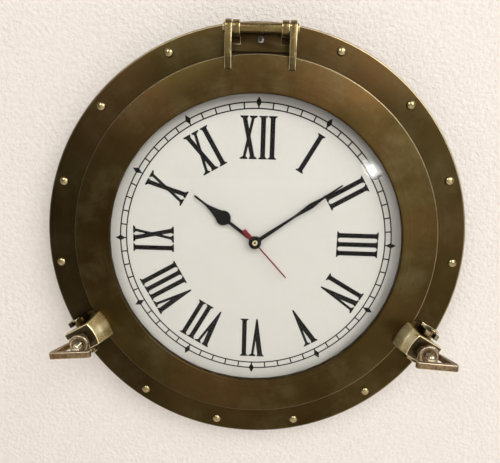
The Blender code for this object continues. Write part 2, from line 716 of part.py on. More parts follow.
def hinge_bracket(face):
    low = FACE + GAP
    outline = [
        (BRACKET_HALF_WIDTH, BRACKET_BOTTOM),
        (BRACKET_HALF_WIDTH, BRACKET_STEP),
        (BRACKET_NOTCH_HALF_WIDTH, BRACKET_STEP),
        (BRACKET_NOTCH_HALF_WIDTH, BRACKET_NOTCH_TOP),
        (KNUCKLE_INNER + KNUCKLE_WIDTH, BRACKET_NOTCH_TOP),
        (KNUCKLE_INNER + KNUCKLE_WIDTH, BRACKET_TOP),
    ]
    plate = extruded(mirrored(outline), low, low + BRACKET_THICKNESS)
    item = add_piece("hinge_bracket", plate, "aged_brass", face)
    root = low + BRACKET_THICKNESS / 2
    centre = (HINGE_OUT, HINGE_PIN_UP)
    profile = [(root, BRACKET_TOP - GAP), (root, BRACKET_NOTCH_TOP + GAP)]
    profile += arc(centre, KNUCKLE_RADIUS, -math.pi / 2, math.pi / 2, SMALL_STEPS)
    for side in (1, -1):
        start = KNUCKLE_INNER if side < 0 else -KNUCKLE_INNER - KNUCKLE_WIDTH
        join(item, sideways(extruded(profile, start, start + KNUCKLE_WIDTH)))
    reach = ARM_OUTER + OVERRUN
    pin_hole = disc(HINGE_PIN_RADIUS + GAP, -reach, reach)
    hole_top = low + BRACKET_THICKNESS + OVERRUN
    screw_hole = disc(BRACKET_SHANK_RADIUS + GAP, low - OVERRUN, hole_top, SMALL_STEPS)
    cut(item, shifted(sideways(pin_hole), 0, HINGE_PIN_UP, HINGE_OUT))
    cut(item, shifted(screw_hole, 0, BRACKET_SCREW_UP))
    seat = low + BRACKET_THICKNESS
    length = seat - FLANGE_BACK + GAP
    screw = domed_screw(BRACKET_HEAD_RADIUS, BRACKET_HEAD_HEIGHT, BRACKET_SHANK_RADIUS, seat, length)
    add_piece("hinge_bracket_screw", shifted(screw, 0, BRACKET_SCREW_UP), "steel", face)


def hinge_pin(face):
    end = ARM_OUTER + HINGE_PIN_END
    neck = HINGE_PIN_RADIUS - PIN_END_CHAMFER
    shoulder = end - PIN_END_CHAMFER
    outline = [(0, -end), (neck, -end), (HINGE_PIN_RADIUS, -shoulder)]
    outline += [(HINGE_PIN_RADIUS, shoulder), (neck, end), (0, end)]
    location = (0, HINGE_PIN_UP, HINGE_OUT)
    add_piece("hinge_pin", sideways(turned(outline, ROD_STEPS)), "bright_brass", face, location)


def hinge_arms(door, shift):
    back = HINGE_OUT - ARM_BACK_DEPTH
    rim_up = math.sqrt(DOOR_RADIUS**2 - ARM_INNER**2) + GAP
    tip = door_face(ARM_TIP_UP) + GAP
    centre = (HINGE_OUT, HINGE_PIN_UP)
    profile = arc(centre, ARM_RADIUS, 0, math.pi, SMALL_STEPS)
    profile += [(back, HINGE_PIN_UP - ARM_WAIST), (back, rim_up + GAP)]
    profile += [(door_face(rim_up) + GAP, rim_up + GAP), (tip, ARM_TIP_UP)]
    profile += [(tip + ARM_TIP_THICKNESS, ARM_TIP_UP)]
    profile += [(door_face(rim_up) + ARM_ROOT_THICKNESS, rim_up)]
    for name, side in (("right", 1), ("left", -1)):
        start = -ARM_OUTER if side > 0 else ARM_INNER
        mesh = sideways(extruded(profile, start, start + ARM_WIDTH))
        item = add_piece(f"hinge_arm_{name}", mesh, "bright_brass", door, shift)
        reach = ARM_OUTER + OVERRUN
        hole = sideways(disc(HINGE_PIN_RADIUS + GAP, -reach, reach))
        cut(item, shifted(hole, 0, HINGE_PIN_UP, HINGE_OUT))


# Door
def door_ring(door, shift):
    outline = [(DOOR_RADIUS, DOOR_BACK)]
    outer = DOOR_RADIUS - DOOR_ROUND
    outline += arc((outer, door_face(outer) - DOOR_ROUND), DOOR_ROUND, 0, math.pi / 2, CORNER_STEPS)
    inner = DOOR_OPENING + DOOR_ROUND
    lip = (inner, door_face(inner) - DOOR_ROUND)
    outline += arc(lip, DOOR_ROUND, math.pi / 2, math.pi, CORNER_STEPS)
    outline += [(DOOR_OPENING, LIP_BACK), (GLASS_SEAT_RADIUS, LIP_BACK)]
    outline += [(GLASS_SEAT_RADIUS, GLASS_BACK), (CLAMP_SEAT_RADIUS, GLASS_BACK)]
    outline += [(CLAMP_SEAT_RADIUS, DOOR_BACK)]
    item = add_piece("door_ring", turned(outline), "aged_brass", door, shift)
    hole = disc(
        SMALL_SHANK_RADIUS + GAP, GLASS_BACK - OVERRUN, GLASS_BACK + CLAMP_SCREW_DEPTH + GAP, SMALL_STEPS
    )
    cut(item, copies(hole, clamp_places()))


def clamp_places():
    start = math.tau / CLAMP_SCREW_COUNT / 2
    return circle_places(CLAMP_SCREW_CIRCLE, even_angles(CLAMP_SCREW_COUNT, start))


def glazing(door, shift):
    edge = GLASS_SEAT_RADIUS - GAP
    gasket = ring(DOOR_OPENING + DOOR_ROUND, edge, GLASS_GASKET_BACK, LIP_BACK - GAP)
    add_piece("glass_gasket", gasket, "rubber", door, shift)
    add_piece("glass_pane", disc(edge, GLASS_BACK, GLASS_FRONT, ROUND_STEPS), "glass", door, shift)
    clamp_front = GLASS_BACK - GAP
    clamp_back = clamp_front - CLAMP_THICKNESS
    inner = DOOR_OPENING + DOOR_ROUND
    clamp = ring(inner, CLAMP_SEAT_RADIUS - GAP, clamp_back, clamp_front)
    item = add_piece("glass_clamp_ring", clamp, "aged_brass", door, shift)
    hole = disc(SMALL_SHANK_RADIUS + GAP, clamp_back - OVERRUN, clamp_front + OVERRUN, SMALL_STEPS)
    cut(item, copies(hole, clamp_places()))


def lug(name, station):
    foot_inner = (LUG_FOOT_INNER, door_face(LUG_FOOT_INNER) + GAP)
    foot_outer = (LUG_FOOT_OUTER, door_face(LUG_FOOT_INNER) + GAP)
    middle = ((LUG_FOOT_INNER + LUG_TOP_INNER) / 2 - LUG_BULGE, (foot_inner[1] + LUG_TOP) / 2)
    under = LUG_TOP - LUG_PLATE_THICKNESS
    outline = [foot_inner, foot_outer, (LUG_WALL_TOP - LUG_FILLET, under - LUG_FILLET)]
    outline += [(LUG_WALL_TOP, under), (LUG_OUTER, under), (LUG_OUTER, LUG_TOP)]
    outline += [(LUG_TOP_INNER, LUG_TOP), middle]
    # extruding from +1/2 to -1/2 along the rim, then drawing each height in to its own width
    mesh = crossways(extruded(outline, -LUG_FOOT_WIDTH / 2, LUG_FOOT_WIDTH / 2))
    for vertex in mesh.verts:
        share = (vertex.co.z - foot_inner[1]) / (LUG_TOP - foot_inner[1])
        width = LUG_FOOT_WIDTH + (LUG_TOP_WIDTH - LUG_FOOT_WIDTH) * share
        vertex.co.y *= width / LUG_FOOT_WIDTH
    item = add_piece(f"lug_{name}", mesh, "bright_brass", station)
    half = BOLT_RADIUS + SLOT_CLEARANCE
    slot = arc((BOLT_CIRCLE, 0), half, math.pi / 2, math.pi * 3 / 2, SMALL_STEPS)
    slot += [(LUG_OUTER + OVERRUN, -half), (LUG_OUTER + OVERRUN, half)]
    cut(item, extruded(slot, under - OVERRUN, LUG_TOP + OVERRUN))


# Dogs
def dog_bracket(name, station):
    low = FACE + GAP
    side = EAR_INNER + EAR_WIDTH
    foot = box(FOOT_START, FOOT_END, -side, side, low, low + FOOT_THICKNESS)
    item = add_piece(f"dog_bracket_{name}", foot, "aged_brass", station)
    pivot = (DOG_PIVOT_RADIUS, FACE + DOG_PIVOT_HEIGHT)
    top = FACE + EAR_HEIGHT
    notch = DOG_PIN_RADIUS + GAP
    outline = [(EAR_START, low + EAR_SINK), (EAR_END, low + EAR_SINK)]
    outline += arc((EAR_END - EAR_ROUND, top - EAR_ROUND), EAR_ROUND, 0, math.pi / 2, CORNER_STEPS)
    outline += [(pivot[0] + notch, top)]
    outline += arc(pivot, notch, 0, -math.pi, SMALL_STEPS // 2)
    outline += [(pivot[0] - notch, top)]
    outline += arc((EAR_START + EAR_ROUND, top - EAR_ROUND), EAR_ROUND, math.pi / 2, math.pi, CORNER_STEPS)
    for start in (EAR_INNER, -EAR_INNER - EAR_WIDTH):
        join(item, crossways(extruded(outline, start, start + EAR_WIDTH)))
    # studs under the foot pass through the flange and are riveted over behind it
    stud = disc(STUD_RADIUS, FLANGE_BACK, low + FOOT_THICKNESS / 2, SMALL_STEPS)
    join(item, copies(stud, stud_places()))


def dog(name, axis):
    # everything here is measured from the pin that the dog swings on
    play_out, play_side = DOG_PLAY[name]
    offset = BOLT_CIRCLE + play_out - DOG_PIVOT_RADIUS
    end = BOLT_END - DOG_PIVOT_HEIGHT
    eye = shifted(crossways(disc(EYE_RADIUS, -EYE_HALF_WIDTH, EYE_HALF_WIDTH)), 0, play_side)
    item = add_piece(f"dog_bolt_{name}", eye, "aged_brass", axis)
    neck = BOLT_RADIUS - BOLT_CHAMFER
    shank = [(0, 0), (BOLT_RADIUS, 0), (BOLT_RADIUS, end - BOLT_CHAMFER), (neck, end), (0, end)]
    join(item, shifted(turned(shank, ROD_STEPS), offset, play_side))
    reach = EYE_HALF_WIDTH + play_side + OVERRUN
    cut(item, crossways(disc(DOG_PIN_RADIUS + GAP, -reach, reach, SMALL_STEPS)))
    head = EAR_INNER + EAR_WIDTH + GAP
    tip = head + DOG_PIN_HEAD
    outline = [(0, -tip), (DOG_PIN_HEAD_RADIUS, -tip), (DOG_PIN_HEAD_RADIUS, -head)]
    outline += [(DOG_PIN_RADIUS, -head), (DOG_PIN_RADIUS, head)]
    outline += [(DOG_PIN_HEAD_RADIUS, head), (DOG_PIN_HEAD_RADIUS, tip), (0, tip)]
    add_piece(f"dog_pin_{name}", crossways(turned(outline, SMALL_STEPS)), "bright_brass", axis)
    foot = NUT_FOOT - FACE - DOG_PIVOT_HEIGHT
    turn = LOOP_TURNS[name] - DOG_ANGLES[name]
    loop_nut(name, axis, (offset, play_side, foot), turn)


def loop_nut(name, axis, location, turn):
    # a round boss with a three-sided loop standing on it, measured from the boss's foot
    boss = [(0, 0), (NUT_FOOT_RADIUS, 0), (NUT_RADIUS, NUT_TAPER_HEIGHT)]
    boss += [(NUT_RADIUS, NUT_BOSS_HEIGHT), (0, NUT_BOSS_HEIGHT)]
    item = add_piece(f"dog_nut_{name}", turned(boss, ROD_STEPS), "bronze", axis, location, turn)
    cut(item, disc(BOLT_RADIUS + GAP, -OVERRUN, NUT_BOSS_HEIGHT + OVERRUN))
    half_bar = LOOP_BAR_LENGTH / 2
    under_bar = LOOP_HEIGHT - LOOP_BAR_THICKNESS
    root = NUT_RADIUS - LOOP_ROOT_INSET
    corner = (half_bar - LOOP_CORNER, LOOP_HEIGHT - LOOP_CORNER)
    outline = [(0, under_bar), (half_bar - LOOP_LIMB_THICKNESS - LOOP_CORNER / 2, under_bar)]
    outline += [(root - LOOP_LIMB_THICKNESS, LOOP_ROOT_HEIGHT), (root, LOOP_ROOT_HEIGHT)]
    outline += [(half_bar, under_bar)] + arc(corner, LOOP_CORNER, 0, math.pi / 2, CORNER_STEPS)
    join(item, crossways(extruded(mirrored(outline), -LOOP_THICKNESS / 2, LOOP_THICKNESS / 2)))


# Movement
def layer(index):
    # heights of one layer of the wheel train, counted from the case's front wall
    high = CASE_INNER - GAP - index * (WHEEL_THICKNESS + GAP)
    return high - WHEEL_THICKNESS, high


def toothed(radius, teeth, low, high):
    outline = []
    for index in range(teeth * 2):
        share = index / (teeth * 2)
        outline.append(polar(radius - TOOTH_HEIGHT * (index % 2), math.tau * share))
    return extruded(outline, low, high)


def teeth_for(radius):
    return round(math.tau * radius / TOOTH_PITCH)


def wheel_radii(spacing, ratio):
    pinion = spacing / (1 + ratio)
    return pinion, spacing - pinion


def solid_pinion(radius, low, high):
    return disc(radius, low, high, SMALL_STEPS)


def train_places():
    motion = (MOTION_SPACING + GAP, 0)
    third = (-THIRD_SPACING - GAP, 0)
    intermediate = polar(INTERMEDIATE_SPACING + GAP, TRAIN_ANGLE)
    rotor = polar(INTERMEDIATE_SPACING + ROTOR_SPACING + GAP + GAP, TRAIN_ANGLE)
    return {"motion": motion, "third": third, "intermediate": intermediate, "rotor": rotor}


def movement_case(face):
    low = CASE_RIM
    item = add_piece(
        "movement_case",
        box(-CASE_HALF, CASE_HALF, -CASE_HALF, CASE_HALF, low, CASE_FRONT),
        "black_plastic",
        face,
    )
    floor = low - OVERRUN
    train_room = box(-ROOM_HALF, ROOM_HALF, BAY_WALL_UP, ROOM_HALF, floor, CASE_INNER)
    bay_top = BAY_WALL_UP - CASE_WALL
    battery_room = box(-ROOM_HALF, ROOM_HALF, -ROOM_HALF, bay_top, floor, CASE_INNER)
    cut(item, gathered([train_room, battery_room]))
    cut(item, disc(BUSH_RADIUS + GAP, CASE_INNER - OVERRUN, CASE_FRONT + OVERRUN))
    motion = train_places()["motion"]
    cover = add_piece(
        "movement_cover",
        box(-CASE_HALF, CASE_HALF, bay_top, CASE_HALF, COVER_BACK, COVER_FRONT),
        "black_plastic",
        face,
    )
    hole = disc(ARBOR_RADIUS + GAP, COVER_BACK - OVERRUN, COVER_FRONT + OVERRUN, SMALL_STEPS)
    cut(cover, shifted(hole, *motion))
    bush = ring(BUSH_BORE, BUSH_RADIUS, CASE_INNER, DIAL_FRONT + BUSH_TOP, ROD_STEPS)
    add_piece("threaded_bush", bush, "bright_brass", face)
    washer_back = CASE_FRONT + GAP
    washer = ring(BUSH_RADIUS + GAP, WASHER_RADIUS, washer_back, washer_back + WASHER_THICKNESS, ROD_STEPS)
    add_piece("rubber_washer", washer, "rubber", face)
    nut_back = DIAL_FRONT + GAP
    nut = hex_nut(BUSH_RADIUS + GAP, SHAFT_NUT_RADIUS, nut_back, nut_back + SHAFT_NUT_THICKNESS)
    add_piece("shaft_nut", nut, "bright_brass", face)


def train_plate(face):
    low, high = layer(3)
    edge = ROOM_HALF - GAP
    plate = box(-edge, edge, BAY_WALL_UP + GAP, PLATE_TOP_UP, low, high)
    item = add_piece("train_plate", plate, "white_plastic", face)
    places = train_places()
    hole = disc(ARBOR_RADIUS + GAP, low - OVERRUN, high + OVERRUN, SMALL_STEPS)
    centres = [(0, 0), places["motion"], places["third"]]
    cut(item, copies(hole, [Matrix.Translation((x, y, 0)) for x, y in centres]))


def motor(face):
    rotor = train_places()["rotor"]
    back_of_plate = layer(4)[1]
    left = rotor[0] - MAGNET_RADIUS - STATOR_MARGIN
    right = rotor[0] + MAGNET_RADIUS + STATOR_MARGIN
    coil_up = ROOM_HALF - GAP - COIL_FLANGE_RADIUS
    top = coil_up - COIL_FLANGE_RADIUS - GAP
    bottom = rotor[1] - MAGNET_RADIUS - STATOR_THICKNESS
    stator = box(left, right, bottom, top, back_of_plate - STATOR_THICKNESS, back_of_plate)
    item = add_piece("stator", stator, "steel", face)
    low = back_of_plate - STATOR_THICKNESS - OVERRUN
    hole = disc(MAGNET_RADIUS + GAP, low, back_of_plate + OVERRUN)
    cut(item, shifted(hole, *rotor))
    half = COIL_LENGTH / 2
    flange = half - COIL_FLANGE_THICKNESS
    outline = [(0, -half), (COIL_FLANGE_RADIUS, -half), (COIL_FLANGE_RADIUS, -flange)]
    outline += [(COIL_RADIUS, -flange), (COIL_RADIUS, flange), (COIL_FLANGE_RADIUS, flange)]
    outline += [(COIL_FLANGE_RADIUS, half), (0, half)]
    coil = sideways(turned(outline, SMALL_STEPS))
    add_piece("coil", coil, "copper", face, (0, coil_up, CASE_INNER - GAP - COIL_FLANGE_RADIUS))
    edge = ROOM_HALF - GAP
    board_low = PLATE_TOP_UP - BOARD_WIDTH
    board = box(-edge, -edge + BOARD_LENGTH, board_low, PLATE_TOP_UP, layer(4)[0], layer(4)[1])
    add_piece("circuit_board", board, "board_green", face)


def battery(face):
    length = BATTERY_BODY + BATTERY_NUB
    half = length / 2
    shoulder = half - BATTERY_NUB
    outline = [(0, -half), (BATTERY_RADIUS, -half), (BATTERY_RADIUS, shoulder)]
    outline += [(BATTERY_NUB_RADIUS, shoulder), (BATTERY_NUB_RADIUS, half), (0, half)]
    bay_top = BAY_WALL_UP - CASE_WALL
    up = (bay_top - ROOM_HALF) / 2
    out = CASE_INNER - GAP - BATTERY_RADIUS
    add_piece("battery", sideways(turned(outline, ROD_STEPS)), "battery_sleeve", face, (0, up, out))
    low = up - CONTACT_WIDTH / 2
    high = up + CONTACT_WIDTH / 2
    for name, side in (("positive", -1), ("negative", 1)):
        left, right = sorted((side * (half + GAP), side * (ROOM_HALF - GAP)))
        contact = box(left, right, low, high, out - BATTERY_RADIUS, CASE_INNER - GAP)
        add_piece(f"battery_contact_{name}", contact, "steel", face)


def train(face):
    places = train_places()
    cover_seat = COVER_FRONT + GAP
    front_seat = CASE_INNER - GAP
    minute_pinion, motion_wheel = wheel_radii(MOTION_SPACING, MINUTE_TO_MOTION)
    motion_pinion, hour_wheel_radius = wheel_radii(MOTION_SPACING, MOTION_TO_HOUR)
    second_pinion, third_wheel_radius = wheel_radii(THIRD_SPACING, SECOND_TO_THIRD)
    third_pinion, minute_wheel_radius = wheel_radii(THIRD_SPACING, THIRD_TO_MINUTE)
    inner_pinion, second_wheel_radius = wheel_radii(INTERMEDIATE_SPACING, INTERMEDIATE_TO_SECOND)
    rotor_pinion, inner_wheel_radius = wheel_radii(ROTOR_SPACING, ROTOR_TO_INTERMEDIATE)

    hour_wheel = toothed(hour_wheel_radius, teeth_for(hour_wheel_radius), *layer(0))
    item = add_piece("hour_wheel", hour_wheel, "white_plastic", face)
    tube_top = HOUR_HAND_BACK + HAND_THICKNESS + GAP
    overlap = WHEEL_THICKNESS / 2
    join(item, disc(HOUR_TUBE_RADIUS, layer(0)[0] + overlap, tube_top))
    cut(item, disc(HOUR_TUBE_BORE, layer(0)[0] - OVERRUN, tube_top + OVERRUN))

    minute_wheel = toothed(minute_wheel_radius, teeth_for(minute_wheel_radius), *layer(2))
    item = add_piece("minute_wheel", minute_wheel, "white_plastic", face)
    tube_top = MINUTE_HAND_BACK + HAND_THICKNESS + GAP
    pinion_top = layer(1)[1]
    stem = [(0, layer(2)[0] + overlap), (minute_pinion, layer(2)[0] + overlap)]
    stem += [(minute_pinion, pinion_top), (MINUTE_TUBE_RADIUS, pinion_top)]
    stem += [(MINUTE_TUBE_RADIUS, tube_top), (0, tube_top)]
    join(item, turned(stem, ROD_STEPS))
    cut(item, disc(MINUTE_TUBE_BORE, layer(2)[0] - OVERRUN, tube_top + OVERRUN, SMALL_STEPS))

    second_wheel = toothed(second_wheel_radius, teeth_for(second_wheel_radius), *layer(5))
    item = add_piece("second_wheel", second_wheel, "white_plastic", face)
    join(item, disc(second_pinion, layer(5)[0] + overlap, layer(4)[1], SMALL_STEPS))
    join(item, disc(ARBOR_RADIUS, cover_seat, SECOND_HAND_BACK + HAND_THICKNESS, SMALL_STEPS))

    third_wheel = toothed(third_wheel_radius, teeth_for(third_wheel_radius), *layer(4))
    item = add_piece("third_wheel", third_wheel, "white_plastic", face, (*places["third"], 0))
    join(item, disc(ARBOR_RADIUS, cover_seat, front_seat, SMALL_STEPS))
    join(item, disc(third_pinion, *layer(2), SMALL_STEPS))

    inner_wheel = toothed(inner_wheel_radius, teeth_for(inner_wheel_radius), *layer(6))
    location = (*places["intermediate"], 0)
    item = add_piece("intermediate_wheel", inner_wheel, "white_plastic", face, location)
    join(item, disc(inner_pinion, layer(6)[0] + overlap, layer(5)[1], SMALL_STEPS))
    join(item, disc(ARBOR_RADIUS, cover_seat, layer(4)[1], SMALL_STEPS))

    magnet = disc(MAGNET_RADIUS, layer(5)[0], layer(4)[1])
    item = add_piece("rotor", magnet, "steel", face, (*places["rotor"], 0))
    join(item, disc(rotor_pinion, layer(6)[0], layer(5)[1] - overlap, SMALL_STEPS))
    join(item, disc(ARBOR_RADIUS, cover_seat, layer(4)[1] - overlap, SMALL_STEPS))

    # the setting wheel's arbor comes out through the cover and carries the setting knob
    motion = toothed(motion_wheel, teeth_for(motion_wheel), *layer(1))
    location = (*places["motion"], 0)
    item = add_piece("setting_wheel", motion, "white_plastic", face, location)
    knob_front = COVER_BACK - GAP
    join(item, disc(motion_pinion, layer(1)[0] + overlap, layer(0)[1], SMALL_STEPS))
    join(item, disc(ARBOR_RADIUS, knob_front - KNOB_HEIGHT / 2, front_seat, SMALL_STEPS))
    join(item, toothed(KNOB_RADIUS, KNOB_RIB_COUNT, knob_front - KNOB_HEIGHT, knob_front))


# Hands
def hour_outline():
    boss_meet = math.asin(HOUR_STEM_HALF_WIDTH / HOUR_BOSS_RADIUS)
    blob_meet = math.asin(HOUR_STEM_HALF_WIDTH / HOUR_BLOB_RADIUS)
    shoulder = math.radians(35)
    centre = (0, HOUR_BLOB_PLACE)
    right = arc((0, 0), HOUR_BOSS_RADIUS, -math.pi / 2, math.pi / 2 - boss_meet, SMALL_STEPS)
    right += arc(centre, HOUR_BLOB_RADIUS, blob_meet - math.pi / 2, shoulder, SMALL_STEPS)
    # the blob runs out in a hollow curve into a needle
    start_x, start_y = right[-1]
    needle_y = HOUR_BLOB_PLACE + (HOUR_LENGTH - HOUR_BLOB_PLACE) / 2
    for step in range(1, SMALL_STEPS // 2 + 1):
        share = step / (SMALL_STEPS // 2)
        x = HOUR_NEEDLE_HALF_WIDTH + (start_x - HOUR_NEEDLE_HALF_WIDTH) * (1 - share) ** 2
        right.append((x, start_y + (needle_y - start_y) * share))
    right += [(HOUR_NEEDLE_HALF_WIDTH, HOUR_LENGTH - HOUR_NEEDLE_HALF_WIDTH), (0, HOUR_LENGTH)]
    return mirrored(right)


def minute_outline():
    # (place along the hand, half width) as shares of its length and of its widest half width
    leaf_shares = [(0.10, 0.58), (0.36, 0.44), (0.50, 0.60), (0.58, 0.86), (0.635, 1.0)]
    leaf_shares += [(0.70, 0.80), (0.80, 0.48), (0.99, 0.26)]
    half_width = MINUTE_HALF_WIDTH * leaf_shares[0][1]
    meet = math.asin(half_width / MINUTE_BOSS_RADIUS)
    right = arc((0, 0), MINUTE_BOSS_RADIUS, -math.pi / 2, math.pi / 2 - meet, SMALL_STEPS)
    right += [(MINUTE_HALF_WIDTH * width, MINUTE_LENGTH * place) for place, width in leaf_shares]
    right.append((0, MINUTE_LENGTH))
    return mirrored(right)


def second_outline():
    root = math.asin(SECOND_NEEDLE_HALF_WIDTH / SECOND_BOSS_RADIUS)
    tail = math.asin(SECOND_NEEDLE_HALF_WIDTH * 2 / SECOND_BOSS_RADIUS)
    right = [(SECOND_TAIL_HALF_WIDTH, -SECOND_TAIL)]
    right += arc((0, 0), SECOND_BOSS_RADIUS, tail - math.pi / 2, math.pi / 2 - root, SMALL_STEPS)
    right += [(SECOND_NEEDLE_HALF_WIDTH, SECOND_LENGTH - SECOND_NEEDLE_HALF_WIDTH), (0, SECOND_LENGTH)]
    return mirrored(right)


def hands(face):
    hour = extruded(hour_outline(), HOUR_HAND_BACK, HOUR_HAND_BACK + HAND_THICKNESS)
    item = add_piece("hour_hand", hour, "hand_black", face, rotation=-HOUR_ANGLE)
    high = HOUR_HAND_BACK + HAND_THICKNESS + OVERRUN
    cut(item, disc(HOUR_TUBE_RADIUS + GAP, HOUR_HAND_BACK - OVERRUN, high))
    minute = extruded(minute_outline(), MINUTE_HAND_BACK, MINUTE_HAND_BACK + HAND_THICKNESS)
    item = add_piece("minute_hand", minute, "hand_black", face, rotation=-MINUTE_ANGLE)
    high = MINUTE_HAND_BACK + HAND_THICKNESS + OVERRUN
    cut(item, disc(MINUTE_TUBE_RADIUS + GAP, MINUTE_HAND_BACK - OVERRUN, high))
    second = extruded(second_outline(), SECOND_HAND_BACK, SECOND_HAND_BACK + HAND_THICKNESS)
    item = add_piece("second_hand", second, "hand_red", face, rotation=-SECOND_ANGLE)
    high = SECOND_HAND_BACK + HAND_THICKNESS + OVERRUN
    cut(item, disc(CAP_STEM_RADIUS + GAP, SECOND_HAND_BACK - OVERRUN, high, SMALL_STEPS))
    bore = ARBOR_RADIUS + GAP
    bore_top = SECOND_HAND_BACK + HAND_THICKNESS + GAP
    rim = CAP_BACK + CAP_HEIGHT / 2
    outline = [(0, bore_top), (bore, bore_top), (bore, SECOND_HAND_BACK)]
    outline += [(CAP_STEM_RADIUS, SECOND_HAND_BACK), (CAP_STEM_RADIUS, CAP_BACK)]
    outline += [(CAP_RADIUS, CAP_BACK), (CAP_RADIUS, rim)]
    outline += [(0, CAP_BACK + CAP_HEIGHT)]
    add_piece("second_hand_cap", turned(outline, ROD_STEPS), "pale_brass", face)


def clear_scene():
    for item in list(bpy.data.objects):
        bpy.data.objects.remove(item, do_unlink=True)


def build():
    clear_scene()
    make_materials()
    face = add_empty("wall_frame", None, rotation=(math.pi / 2, 0, 0))
    base_ring(face)
    rim_screws(face)
    door_gasket(face)
    dial(face)
    backboard(face)
    back_hatch(face)
    hanger(face)
    hinge_bracket(face)
    hinge_pin(face)

    hinge = Vector((0, HINGE_PIN_UP, HINGE_OUT))
    door = add_empty("door_axis", face, hinge)
    hinge_arms(door, -hinge)
    door_ring(door, -hinge)
    glazing(door, -hinge)
    for name, angle in DOG_ANGLES.items():
        dog_bracket(name, add_empty(f"base_station_{name}", face, rotation=(0, 0, angle)))
        station = add_empty(f"door_station_{name}", door, -hinge, (0, 0, angle))
        lug(name, station)
        pivot = (DOG_PIVOT_RADIUS, 0, FACE + DOG_PIVOT_HEIGHT)
        dog(name, add_empty(f"dog_axis_{name}", station, pivot))

    movement_case(face)
    train_plate(face)
    motor(face)
    battery(face)
    train(face)
    hands(face)


build()
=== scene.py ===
import json
import math

import bmesh
import bpy
from mathutils import Matrix, Vector


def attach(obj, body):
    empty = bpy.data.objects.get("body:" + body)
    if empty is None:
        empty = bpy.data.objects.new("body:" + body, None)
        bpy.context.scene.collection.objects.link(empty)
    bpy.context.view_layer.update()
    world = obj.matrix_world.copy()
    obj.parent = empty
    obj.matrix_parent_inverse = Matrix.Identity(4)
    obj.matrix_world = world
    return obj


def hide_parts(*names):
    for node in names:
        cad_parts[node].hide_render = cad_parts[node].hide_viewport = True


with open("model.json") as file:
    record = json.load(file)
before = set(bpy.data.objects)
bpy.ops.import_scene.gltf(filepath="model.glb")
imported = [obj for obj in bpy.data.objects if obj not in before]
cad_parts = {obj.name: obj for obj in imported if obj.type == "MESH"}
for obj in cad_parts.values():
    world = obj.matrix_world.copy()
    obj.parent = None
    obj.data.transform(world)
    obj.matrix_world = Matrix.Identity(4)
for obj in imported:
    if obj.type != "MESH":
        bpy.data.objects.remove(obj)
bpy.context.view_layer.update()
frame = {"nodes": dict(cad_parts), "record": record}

print("porthole clock: frame loaded,", len(frame["nodes"]), "nodes")

# drawings are in millimetres with x right, y up and z out of the wall
onWall = Matrix.Rotation(math.pi / 2, 4, "X") @ Matrix.Scale(0.001, 4)


# shader helpers

def put(tree, kind, feeds=None, **settings):
    made = tree.nodes.new("ShaderNode" + kind)
    for key, value in settings.items():
        setattr(made, key, value)
    for key, value in (feeds or {}).items():
        if isinstance(value, bpy.types.NodeSocket):
            tree.links.new(value, made.inputs[key])
        else:
            made.inputs[key].default_value = value
    return made


def mixColour(tree, factor, first, second):
    return put(tree, "Mix", {0: factor, 6: first, 7: second}, data_type="RGBA").outputs[2]


def spread(tree, value, low, high, start, end):
    made = put(tree, "MapRange", {"Value": value, "From Min": low, "From Max": high, "To Min": start, "To Max": end})
    return made.outputs[0]


def reckon(tree, how, first, second=0.0):
    return put(tree, "Math", {0: first, 1: second}, operation=how).outputs[0]


def times(tree, first, second):
    return reckon(tree, "MULTIPLY", first, second)


def plus(tree, first, second):
    return reckon(tree, "ADD", first, second)


def freshMaterial(name):
    made = bpy.data.materials.new(name)
    made.use_nodes = True
    return made, made.node_tree, made.node_tree.nodes["Principled BSDF"]


def showBlend(tree, factor, first, second):
    blend = put(tree, "MixShader", {0: factor, 1: first, 2: second})
    tree.links.new(blend.outputs[0], tree.nodes["Material Output"].inputs["Surface"])


def newGroup(name, inputs):
    # a shader group that puts out a colour, a roughness and a height for bumps
    group = bpy.data.node_groups.new(name, "ShaderNodeTree")
    for label, kind, value in inputs:
        made = group.interface.new_socket(label, in_out="INPUT", socket_type="NodeSocket" + kind)
        made.default_value = value
    for label, kind in (("Color", "Color"), ("Roughness", "Float"), ("Height", "Float")):
        group.interface.new_socket(label, in_out="OUTPUT", socket_type="NodeSocket" + kind)
    source = group.nodes.new("NodeGroupInput")
    target = group.nodes.new("NodeGroupOutput")
    return group, source.outputs, target.inputs


def putOut(group, result, colour, rough, height):
    for label, value in (("Color", colour), ("Roughness", rough), ("Height", height)):
        group.links.new(value, result[label])
    return group


def noiseAt(tree, where, scale, detail=4.0, roughness=0.55):
    made = put(tree, "TexNoise", {"Vector": where, "Scale": scale, "Detail": detail, "Roughness": roughness})
    return made.outputs["Fac"]


